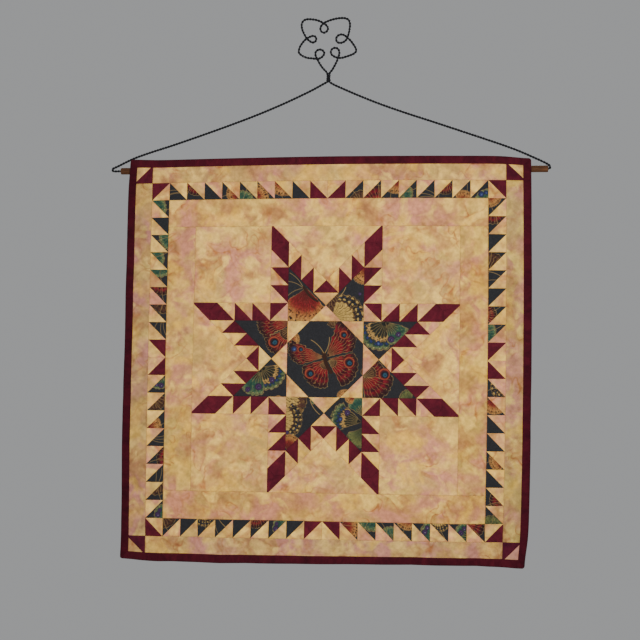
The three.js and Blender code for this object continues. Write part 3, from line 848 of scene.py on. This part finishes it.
def star_pairs():
    kite = [(-HALF, TIP), (-HALF, HALF), (-SNUB, HALF), (0, KITE)]
    cut = TIP + DIAMOND + 1 - BLOCK
    diamond = [(-HALF, TIP), (-HALF, TIP + DIAMOND), (cut - OUT, BLOCK), (-OUT, BLOCK), (-OUT, END)]
    for quarter in range(4):
        for side, flip in enumerate((lambda outline: outline, mirrored)):
            number = 2 * quarter + side + 1
            add_patches(f"star_point_{number}", "butterfly_print",
                        [(turned(flip(kite), -90 * quarter), PRINT, POINT_MOTIFS[number])], 10 + number)
            add_patches(f"tip_diamond_{number}", "burgundy_cloth",
                        [(turned(flip(diamond), -90 * quarter), BURGUNDY, None)], 20 + number)


OPPOSITE = {"left": "right", "right": "left", "bottom": "top", "top": "bottom"}


def half_square(x, z, corner, size=(1, 1)):
    """The two triangles of a square patch. corner says where the dark one's right angle is."""
    w, h = size
    box = {"left": x, "right": x + w, "bottom": z, "top": z + h}
    up, side = corner
    down, across = OPPOSITE[up], OPPOSITE[side]
    dark = [(box[side], box[up]), (box[across], box[up]), (box[side], box[down])]
    light = [(box[across], box[down]), dark[1], dark[2]]
    return dark, light


def plain_pair(x, z, corner, size=(1, 1)):
    """A half-square patch in burgundy and batik."""
    dark, light = half_square(x, z, corner, size)
    return [(dark, BURGUNDY, None), (light, BATIK, None)]


def feather_strips():
    """The V of feathers round the top left corner, and its seven copies."""
    column = plain_pair(-OUT, OUT, ("top", "right")) + plain_pair(-OUT, OUT + 1, ("top", "right"))
    column.append(([(-OUT, TIP), (-OUT, END), (-HALF, TIP)], BATIK, None))
    row = [(swapped(outline), cloth, None) for outline, cloth, _ in column]
    strip = column + row + plain_pair(-OUT, HALF, ("top", "left"))
    for i in range(8):
        patches = [(turned(outline, -45 * i), cloth, None) for outline, cloth, _ in strip]
        add_patches(f"feather_strip_{i + 1}", "burgundy_cloth", patches, 40 + i)


def background():
    square = [(-OUT, OUT), (-OUT, BLOCK), (-BLOCK, BLOCK), (-BLOCK, OUT)]
    apex = OUT * math.sqrt(2)
    triangle = [(0, apex), (BLOCK - apex, BLOCK), (apex - BLOCK, BLOCK)]
    for quarter in range(4):
        add_patches(f"corner_square_{quarter + 1}", "cream_batik",
                    [(turned(square, -90 * quarter), BATIK, None)], 50 + quarter)
        add_patches(f"side_triangle_{quarter + 1}", "cream_batik",
                    [(turned(triangle, -90 * quarter), BATIK, None)], 60 + quarter)


def rectangle(left, bottom, right, top):
    return [(left, bottom), (right, bottom), (right, top), (left, top)]


# Painted shade: the frame strips' colour is made a little darker than the background inside them, by its
# own amount on each side.
FRAME_PAINTED_SHADE = {"top": (0.945, 0.925, 0.9), "bottom": (0.93, 0.92, 0.85),
               "left": (0.89, 0.89, 0.86), "right": (0.89, 0.885, 0.76)}


def frame_strips():
    strips = {"top": rectangle(-SAW_IN, BLOCK, SAW_IN, SAW_IN),
              "bottom": rectangle(-SAW_IN, -SAW_IN, SAW_IN, -BLOCK),
              "left": rectangle(-SAW_IN, -BLOCK, -BLOCK, BLOCK),
              "right": rectangle(BLOCK, -BLOCK, SAW_IN, BLOCK)}
    for number, (side, outline) in enumerate(strips.items()):
        # Each strip's colour is multiplied by its painted shade.
        add_patches(f"frame_strip_{side}", "cream_batik", [(outline, BATIK, None)], 70 + number,
                    FRAME_PAINTED_SHADE[side])


def sawtooth():
    """Half-square patches, mirrored at the middle of each side, with a burgundy pair there."""
    teeth = {"top": ("bottom", "left"), "bottom": ("top", "left"),
             "left": ("top", "right"), "right": ("top", "left")}
    for number, (side, (up, across)) in enumerate(teeth.items()):
        upright, _ = SIDES[side]
        words = SAWTOOTH_PRINTS[side].split()
        patches = []
        for i, word in enumerate(words):
            corner = (up, across)
            if i >= len(words) / 2:
                corner = (OPPOSITE[up], across) if upright else (up, OPPOSITE[across])
            if upright:
                at = (-SAW_OUT if side == "left" else SAW_IN, SAW_IN - 1 - i)
            else:
                at = (-SAW_IN + i, SAW_IN if side == "top" else -SAW_OUT)
            dark, light = half_square(*at, corner)
            if word == "plum":
                patches.append((dark, BURGUNDY, None))
            else:
                patches.append((dark, PRINT, tooth_motifs(word, dark, 1000 + 50 * number + i)))
            patches.append((light, BATIK, None))
        if not upright:
            z = SAW_IN if side == "top" else -SAW_OUT
            for x, across_corner in ((-SAW_OUT, "left"), (SAW_IN, "right")):
                patches += plain_pair(x, z, (side, across_corner))
        add_patches(f"sawtooth_{side}", "butterfly_print", patches, 80 + number)


# Painted shade: the outer border's colour is made darker than the background's, by its own amount on each
# side.
BORDER_PAINTED_SHADE = {"top": (0.85, 0.84, 0.93), "bottom": (0.75, 0.775, 0.97),
                "left": (0.66, 0.68, 0.86), "right": (0.715, 0.785, 0.83)}
UNDER_BINDING = 3.0     # how far the border runs under the binding


def outer_border():
    """Plain strips, with a half-square patch in each corner."""
    wide = (HALF_WIDTH - BINDING_WIDTH + UNDER_BINDING) / UNIT
    high = (HALF_HEIGHT - BINDING_WIDTH + UNDER_BINDING) / UNIT
    # Each side's colour is multiplied by its painted shade.
    for number, side in enumerate(("top", "bottom")):
        bottom, top = (SAW_OUT, high) if side == "top" else (-high, -SAW_OUT)
        patches = [(rectangle(-SAW_OUT, bottom, SAW_OUT, top), BATIK, None)]
        for x, inner in ((-wide, "right"), (SAW_OUT, "left")):
            patches += plain_pair(x, bottom, (OPPOSITE[side], inner), (wide - SAW_OUT, high - SAW_OUT))
        add_patches(f"outer_border_{side}", "cream_batik", patches, 90 + number, BORDER_PAINTED_SHADE[side])
    for number, side in enumerate(("left", "right")):
        left, right = (-wide, -SAW_OUT) if side == "left" else (SAW_OUT, wide)
        add_patches(f"outer_border_{side}", "cream_batik",
                    [(rectangle(left, -SAW_OUT, right, SAW_OUT), BATIK, None)], 94 + number,
                    BORDER_PAINTED_SHADE[side])


# ---- binding, backing, batting and sleeve ----

def round_corner(x, z):
    """Points near a corner of the quilt, moved in so that the corner is round."""
    over_x = np.abs(x) - (HALF_WIDTH - CORNER_RADIUS)
    over_z = np.abs(z) - (HALF_HEIGHT - CORNER_RADIUS)
    near = (over_x > 0) & (over_z > 0)
    reach = np.hypot(over_x, over_z)
    square = np.maximum(over_x, over_z)
    shrink = np.where(near & (reach > 0), square / np.where(reach > 0, reach, 1), 1)
    x = np.where(near, np.sign(x) * (HALF_WIDTH - CORNER_RADIUS + over_x * shrink), x)
    z = np.where(near, np.sign(z) * (HALF_HEIGHT - CORNER_RADIUS + over_z * shrink), z)
    return x, z


BINDING_RIPPLE = 0.22   # how uneven the fold is along its length
# Painted shade: the binding's colour is made darker than the same cloth's in the star, by its own amount on
# each side.
BINDING_PAINTED_SHADE = {"top": (0.66, 0.6, 0.64), "right": (0.58, 0.5, 0.57),
                 "bottom": (0.62, 0.56, 0.6), "left": (0.5, 0.4, 0.46)}


def binding_section():
    """The fold of cloth round the quilt's edge, as distance in from the edge and y, front first."""
    front, back = SEAM_Y - PUFF - 0.45, BACK_Y + 0.35
    middle, half = (front + back) / 2, (back - front) / 2
    inner = BINDING_WIDTH + 0.3         # where the turned-in edge of the cloth is sewn down
    fold_start, bulge = 2.6, 3.2
    points = [(inner - 0.3, front + 0.75), (inner, front + 0.35), (inner - 0.5, front + 0.08),
              (inner - 1.5, front), (inner - 3, front - 0.15), (inner - 5, front - 0.1)]
    points += [(fold_start - bulge * math.sin(angle), middle - half * math.cos(angle))
               for angle in np.linspace(0, math.pi, 9)]
    points += [(inner - 5, back + 0.1), (inner - 1.5, back), (inner, back - 0.2), (inner - 0.3, back - 0.6)]
    return np.array(points)


def binding():
    section = binding_section()
    for number, side in enumerate(SIDES):
        upright, sign = SIDES[side]
        length, across = (HALF_HEIGHT, HALF_WIDTH) if upright else (HALF_WIDTH, HALF_HEIGHT)
        count = math.ceil(length / STEP)
        s = np.linspace(-1, 1, count + 1)[:, None]
        along = s * (length - section[None, :, 0])
        ripple = BINDING_RIPPLE * smooth_noise(along, along * 0 + 37 * number, 7, 12)
        inward = section[None, :, 0] * np.ones_like(s)
        y = section[None, :, 1] - ripple * np.sin(np.arange(len(section)) / len(section) * math.pi)
        distance = across - inward
        x, z = (sign * distance, -sign * along) if upright else (sign * along, sign * distance)
        x, z = round_corner(x, z)
        points = table(x, y, z)
        faces = grid_faces(len(section) - 1, count)[:, ::-1]
        cloth = table(along + 700 * number, 0, np.cumsum(np.ones_like(inward), axis=1) * 1.3)
        # The binding's colour is multiplied by its side's painted shade.
        piece = make_object(f"binding_{side}_cloth", place(points), faces, [TOP_MATERIALS[BURGUNDY]],
                            cloth=cloth, tint=even_tint(points, BINDING_PAINTED_SHADE[side]))
        width = np.hypot(*np.diff(section, axis=0).T).sum() / METRE
        declare(piece, [f"binding_{side}"], "burgundy_cloth", "quilt",
                flat=(2 * length / METRE, width), held="folded", rests_on=["batting_layer"])


LAYER_STEP = 3.0        # size of a layer's faces
LAYER_RUMPLE, LAYER_RUMPLE_SIZE = 0.15, 14.0


def flat_layer(name, margin, surfaces, material, node, slot):
    """A layer as large as the quilt less a margin, with one surface or a front and a back."""
    width, height = HALF_WIDTH - margin, HALF_HEIGHT - margin
    columns = math.ceil(2 * width / LAYER_STEP)
    u, v = (a.ravel() for a in np.meshgrid(np.linspace(-1, 1, columns + 1),
                                           np.linspace(-1, 1, columns + 1)))
    x, z = round_corner(u * width, v * height)
    points, faces = [], []
    for k, (y, relief) in enumerate(surfaces):
        groove = relief * quilting_groove(x, z) + LAYER_RUMPLE * smooth_noise(x, z, LAYER_RUMPLE_SIZE, 21)
        points.append(table(x, y - groove, z))
        quads = grid_faces(columns, columns) + k * len(x)
        faces += [tuple(q) for q in (quads if k == 0 and len(surfaces) > 1 else quads[:, ::-1])]
    if len(surfaces) > 1:
        n = columns + 1
        ring = (list(range(n)) + [i * n + n - 1 for i in range(1, n)]
                + [n * n - 2 - i for i in range(n - 1)] + [(n - 2 - i) * n for i in range(n - 2)])
        for a, b in zip(ring, ring[1:] + ring[:1]):
            faces.append((b, a, a + n * n, b + n * n))
    points = np.concatenate(points)
    tint = even_tint(points)
    # Painted shade: the layer's colour is darkened along the quilting grooves.
    tint[:, :3] *= 1 - QUILTING_PAINTED_SHADE * quilting_groove(points[:, 0], points[:, 2])[:, None]
    piece = make_object(name, place(points), faces, [material], cloth=points + [300, 0, 500], tint=tint)
    declare(piece, [node], slot, "quilt", flat=(2 * width / METRE, 2 * height / METRE), held="hung",
            rests_on=["hanging_sleeve_cloth"])


def tube_faces(rings, sides):
    """Quads between neighbouring rings of points, which each close on themselves."""
    return [(i * sides + k, i * sides + (k + 1) % sides,
             (i + 1) * sides + (k + 1) % sides, (i + 1) * sides + k)
            for i in range(rings - 1) for k in range(sides)]


SLEEVE_STEP = 4.0       # length of the sleeve's faces
SLEEVE_CLOTH = 0.45     # how thick its cloth is
SLEEVE_HEM, HEM_SHARE = 3.0, 0.8        # how far in its end hems reach, and how much they add
SLEEVE_WRINKLE, WRINKLE_SIZE = 1.6, 16.0


def hanging_sleeve():
    """A tube of cloth that lies over the dowel and is sewn to the backing above and below it."""
    length = (SLEEVE_HIGH[0] - SLEEVE_LOW[0]) / 2
    inner = DOWEL_RADIUS + 0.3      # the sleeve lies this close round the dowel
    drop = DOWEL_Z - SLEEVE_LOW[2]
    flat_back = 12.0        # how far down it hangs straight before it comes in to the backing
    below_gap = 0.8         # between its front and its back at the bottom
    parts = 14              # points down each side
    outline = [(-inner, -drop + k * (drop / parts)) for k in range(parts)]
    outline += [(-inner * math.cos(a), inner * math.sin(a)) for a in np.linspace(0, math.pi, 13)]
    for k in range(1, parts + 1):
        share = k / parts
        fall = np.clip((share * drop - flat_back) / (drop - flat_back), 0, 1)
        ease = fall * fall * (3 - 2 * fall)
        outline.append((inner - (2 * inner - below_gap) * ease, -share * drop))
    outline = np.array(outline)
    count = math.ceil(2 * length / SLEEVE_STEP)
    x = np.linspace(-length, length, count + 1)
    hem = np.exp(-(length - np.abs(x)) / SLEEVE_HEM)
    rows = []
    outward = outline - np.array([0, -drop / 3])
    outward /= np.linalg.norm(outward, axis=1)[:, None]
    for thickness in (SLEEVE_CLOTH, 0.0):
        ring = outline + outward * thickness
        grid_x = np.repeat(x[:, None], len(ring), axis=1)
        below = np.clip(-ring[:, 1] / drop, 0, 1)
        wrinkle = smooth_noise(grid_x, ring[None, :, 1] * 2, WRINKLE_SIZE, 31)
        wrinkle = wrinkle * below * (1 - below) * SLEEVE_WRINKLE
        y = ring[None, :, 0] + wrinkle * (ring[:, 0] > 0) + hem[:, None] * thickness * HEM_SHARE
        rows.append(table(grid_x, y, ring[None, :, 1]))
    n = len(outline)
    shift = (count + 1) * n
    faces = tube_faces(count + 1, n)
    faces += [(b + shift, a + shift, d + shift, c + shift) for a, b, c, d in faces]
    for i, flip in ((0, True), (count, False)):
        for k in range(n):
            a, b = i * n + k, i * n + (k + 1) % n
            quad = (a, b, b + shift, a + shift)
            faces.append(quad[::-1] if flip else quad)
    points = np.concatenate(rows) + [CENTRE[0], 0, DOWEL_Z]
    piece = make_object("hanging_sleeve_cloth", points, faces, [TOP_MATERIALS[BATIK]],
                        cloth=points + [50, 0, 900], tint=even_tint(points))
    girth = np.hypot(*(np.roll(outline, -1, axis=0) - outline).T).sum() / METRE
    declare(piece, ["hanging_sleeve"], "cream_batik", "quilt", flat=(2 * length / METRE, girth),
            held="folded", rests_on=["dowel_rod"])


# ---- dowel and wire ----

def dowel():
    """A round rod with softened ends and a blind hole in each."""
    half = (DOWEL_HIGH[0] - DOWEL_LOW[0]) / 2
    bore, depth, soft, chamfer = 2.0, 34.0, 1.0, 0.4
    shaft_start = 8.0       # from each end to the first of the shaft's points
    end = [(-half + depth, 0.01), (-half + depth, bore), (-half + chamfer, bore), (-half, bore + chamfer)]
    end += [(-half + soft - soft * math.cos(a), DOWEL_RADIUS - soft + soft * math.sin(a))
            for a in np.linspace(0, math.pi / 2, 6)]
    shaft = [(x, DOWEL_RADIUS) for x in np.linspace(-half + shaft_start, half - shaft_start, 60)]
    profile = end + shaft + [(-x, r) for x, r in reversed(end)]
    sides = 36
    angles = [2 * math.pi * k / sides for k in range(sides)]
    points = np.array([(x, r * math.cos(a), r * math.sin(a)) for x, r in profile for a in angles])
    points += [(DOWEL_LOW[0] + DOWEL_HIGH[0]) / 2, 0, DOWEL_Z]
    faces = [(a, d, c, b) for a, b, c, d in tube_faces(len(profile), sides)]
    declare(make_object("dowel_rod", points, faces, [wood_material()]), ["dowel"], "dowel_wood", "dowel")


# The wire's route, as x, z and, near where it crosses itself, y.
OVER = 1.75             # how far each of two crossing loops leaves the flower's plane
PIN_DEPTH = 17.0        # how far each end of the wire reaches into the dowel
NECK_X, NECK_TOP, NECK_BOTTOM, NECK_RADIUS, NECK_LEAD = 7.3, -72.5, -84.0, 1.7, 1.2
FLOWER_ROUTE = [
    (NECK_X - NECK_RADIUS, NECK_TOP + NECK_LEAD),
    (-1, -63.5, 1), (-5.5, -57, OVER), (-9, -50.5, OVER),
    (-11.8, -45, OVER), (-12, -41), (-9.5, -37.5), (-5.5, -36.2), (-1, -38), (1, -42),
    (-0.5, -45.5, -1), (-4, -49, -OVER), (-9.5, -50.3, -OVER),
    (-17, -49.5, -OVER), (-24.5, -48), (-32, -44.5), (-36, -40.7), (-36.3, -37.5), (-35, -32.5),
    (-30.5, -25, 0.5), (-25.2, -19.3, OVER),
    (-21, -17, OVER), (-16.7, -16), (-12.7, -17), (-11, -20.7), (-12.5, -24.3), (-16.5, -25.7),
    (-21, -23.5, -1), (-25, -19.7, -OVER),
    (-29, -12.5, -OVER), (-32, -5), (-32.5, 1.5), (-30.5, 6), (-26.5, 8.4), (-20, 8.7),
    (-12, 7.5), (-5.5, 5.5, 1), (0, 2.5, OVER),
    (4, -0.8, OVER), (6, -5), (4.3, -9.5), (0.5, -11.5), (-3.5, -9.7), (-5.2, -5),
    (-3.2, -0.8, -1), (0.3, 2.3, -OVER),
    (5, 4.5, -OVER), (11.5, 7.4), (18.5, 9), (26, 9.7), (32, 9), (36.3, 6.3), (38, 1),
    (37.6, -6.5), (36, -14, 1), (34, -19.5, OVER),
    (30.3, -24.3, OVER), (24.5, -27), (19.7, -25.5), (18, -21), (20.3, -16.5), (25, -14.5),
    (30.3, -16, -1), (34, -19.4, -OVER),
    (38, -23, -OVER), (43.3, -29.5), (46.8, -35.5), (47.3, -39.3), (45, -42.3), (39.5, -45),
    (32, -47.3, 0.5), (26, -48.5, OVER), (21.5, -48.3, OVER),
    (15.5, -46.5, OVER), (11.3, -43.3), (10.5, -39.7), (12.3, -35.8), (16.5, -34), (20.8, -35.6),
    (22.8, -39.7), (22.7, -44.5, -1), (21.3, -48.8, -OVER), (20, -53, -OVER), (17.5, -58, -1),
    (13, -66), (NECK_X + NECK_RADIUS, NECK_TOP + NECK_LEAD),
]
LEFT_ROUTE = [
    (-1, -87.6), (-16, -95.8), (-56.5, -114.8), (-97.5, -131.8), (-138.5, -147), (-180, -161.5),
    (-221, -175.3), (-256, -186.3), (-277, -193.7), (-291, -200), (-302, -205.5),
    (-307.5, -208), (-310, -209.3), (-310.6, -211.4), (-308.5, DOWEL_Z),
    (-303, DOWEL_Z), (DOWEL_LOW[0] + PIN_DEPTH, DOWEL_Z),
]
RIGHT_ROUTE = [
    (13, -86.8), (33.5, -96.5), (74.5, -114), (115, -129), (155.5, -142.7), (195.5, -156.4),
    (235.5, -170.2), (262, -179.6), (283, -187.8), (302, -196.4), (312, -201),
    (319.5, -204.8), (323.6, -207.4), (325.4, -210), (324.6, -212.3),
    (321.5, DOWEL_Z), (DOWEL_HIGH[0] - PIN_DEPTH, DOWEL_Z),
]
WIRE_LAY = 8.4          # one full turn of the two strands
STRAND_RADIUS = 0.92
STRAND_OFFSET = 0.86    # from the wire's middle to each strand's
STRAND_SIDES = 8
WIRE_STEP = 0.8         # between the points along the wire
NECK_TURNS = 2
NECK_STEPS = 24


def neck_turn(start):
    """One side of the neck, where the wire's two arms wind round each other."""
    route = []
    for i in range(NECK_STEPS + 1):
        angle = start + i / NECK_STEPS * NECK_TURNS * 2 * math.pi
        z = NECK_TOP - GAP - NECK_LEAD + (NECK_BOTTOM - NECK_TOP + GAP + NECK_LEAD) * i / NECK_STEPS
        route.append((NECK_X + NECK_RADIUS * math.cos(angle), z, NECK_RADIUS * math.sin(angle)))
    return route


def smooth_route(route, spacing):
    """Points at even spacing on a centripetal Catmull-Rom curve through the route."""
    p = np.array([(r[0], r[2] if len(r) > 2 else 0.0, r[1]) for r in route])
    p = np.concatenate([[2 * p[0] - p[1]], p, [2 * p[-1] - p[-2]]])
    knots = np.concatenate([[0], np.cumsum(np.sqrt(np.linalg.norm(np.diff(p, axis=0), axis=1)))])

    def between(t, first, last, a, b):
        return (last - t) / (last - first) * a + (t - first) / (last - first) * b

    fine = []
    for i in range(1, len(p) - 2):
        t0, t1, t2, t3 = knots[i - 1:i + 3]
        t = np.linspace(t1, t2, 24, endpoint=False)[:, None]
        a1 = between(t, t0, t1, p[i - 1], p[i])
        a2 = between(t, t1, t2, p[i], p[i + 1])
        a3 = between(t, t2, t3, p[i + 1], p[i + 2])
        fine.append(between(t, t1, t2, between(t, t0, t2, a1, a2), between(t, t1, t3, a2, a3)))
    fine = np.concatenate(fine + [p[-2:-1]])
    run = np.concatenate([[0], np.cumsum(np.linalg.norm(np.diff(fine, axis=0), axis=1))])
    even = np.linspace(0, run[-1], math.ceil(run[-1] / spacing) + 1)
    return np.stack([np.interp(even, run, fine[:, k]) for k in range(3)], axis=1), even


def transported_frames(path):
    """Two directions across a path that don't spin round it, at each of its points."""
    tangent = np.gradient(path, axis=0)
    tangent /= np.linalg.norm(tangent, axis=1)[:, None]
    side = np.cross(tangent[0], [0, 1, 0])
    sides = []
    for t in tangent:
        side = side - t * np.dot(side, t)
        side = side / np.linalg.norm(side)
        sides.append(side)
    sides = np.array(sides)
    return sides, np.cross(tangent, sides)


def tube(path, radius, sides):
    """Points and faces of a closed round tube along a path."""
    normal, binormal = transported_frames(path)
    angle = np.linspace(0, 2 * math.pi, sides, endpoint=False)
    ring = (normal[:, None] * np.cos(angle)[None, :, None]
            + binormal[:, None] * np.sin(angle)[None, :, None]) * radius
    points = (path[:, None] + ring).reshape(-1, 3)
    caps = [tuple(range(sides))[::-1], tuple(range(len(points) - sides, len(points)))]
    return points, caps + tube_faces(len(path), sides)


def wire_hanger():
    """Two strands that twist round each other along the hanger's whole route."""
    left = neck_turn(math.pi) + LEFT_ROUTE
    route = left[::-1] + FLOWER_ROUTE + neck_turn(0) + RIGHT_ROUTE
    path, run = smooth_route(route, WIRE_STEP)
    normal, binormal = transported_frames(path)
    material = wire_material()
    nodes = ["flower_wire", "left_arm", "right_arm", "left_hook", "right_hook"]
    for number, name in enumerate(("wire_strand_a", "wire_strand_b")):
        angle = (run / WIRE_LAY * 2 * math.pi + number * math.pi)[:, None]
        strand = path + (normal * np.cos(angle) + binormal * np.sin(angle)) * STRAND_OFFSET
        points, faces = tube(strand, STRAND_RADIUS, STRAND_SIDES)
        declare(make_object(name, points, faces, [material]), nodes, "black_wire", "hanger")


# ---- camera, lights and floor ----

CAMERA_DISTANCE = 1.72
CAMERA_TARGET = Vector((-0.0007, SEAM_Y / METRE, -0.4308))
CAMERA_YAW, CAMERA_PITCH, CAMERA_ROLL = 5.32, 2.59, 0.57    # degrees
CAMERA_LENS = 67.5


def camera():
    """The camera stands a little to the right and below, and looks back and up."""
    yaw, pitch, roll = (math.radians(a) for a in (CAMERA_YAW, CAMERA_PITCH, CAMERA_ROLL))
    ahead = Vector((-math.sin(yaw) * math.cos(pitch), math.cos(yaw) * math.cos(pitch), math.sin(pitch)))
    right = Vector((math.cos(yaw), math.sin(yaw), 0))
    up = right.cross(ahead)
    right, up = (right * math.cos(roll) + up * math.sin(roll),
                 up * math.cos(roll) - right * math.sin(roll))
    data = bpy.data.cameras.new("camera")
    data.lens = CAMERA_LENS
    thing = bpy.data.objects.new("camera", data)
    thing.matrix_world = Matrix.LocRotScale(
        CAMERA_TARGET - ahead * CAMERA_DISTANCE,
        Matrix((right, up, -ahead)).transposed().to_quaternion(), None)
    bpy.context.collection.objects.link(thing)
    bpy.context.scene.camera = thing


def area_light(name, at, target, size, power):
    data = bpy.data.lights.new(name, "AREA")
    data.shape = "DISK"
    data.size = size
    data.energy = power
    thing = bpy.data.objects.new(name, data)
    thing.location = at
    thing.rotation_euler = (Vector(target) - Vector(at)).to_track_quat("-Z", "Y").to_euler()
    bpy.context.collection.objects.link(thing)


FLOOR_REACH, FLOOR_Z = 2200, -1600


def studio():
    middle = (0, 0, -0.45)
    area_light("key", (0.2, -1.15, -0.34), middle, 0.4, 14.5)
    area_light("fill", (-1.8, -2.4, 0.2), middle, 2.0, 30)
    area_light("back", (0.8, 2.2, 0.9), middle, 1.6, 85)
    world = bpy.data.worlds.new("world")
    world.use_nodes = True
    world.node_tree.nodes["Background"].inputs["Color"].default_value = (0.335, 0.34, 0.345, 1)
    bpy.context.scene.world = world
    points = [(x * FLOOR_REACH, y * FLOOR_REACH, FLOOR_Z) for x, y in rectangle(-1, -1, 1, 1)]
    make_object("floor", points, [(0, 1, 2, 3)], [floor_material()])


camera()
studio()
wire_hanger()
dowel()
flat_layer("batting_layer", 3.0, [(SKIRT_Y + 0.1, 0.3), (BACK_Y - 0.5, 0.2)], batting_material(),
           "batting", "batting")
flat_layer("backing_cloth", 4.0, [(BACK_Y, 0.5)], TOP_MATERIALS[BATIK], "backing", "cream_batik")
hanging_sleeve()
star_centre()
star_pairs()
feather_strips()
background()
frame_strips()
sawtooth()
outer_border()
binding()
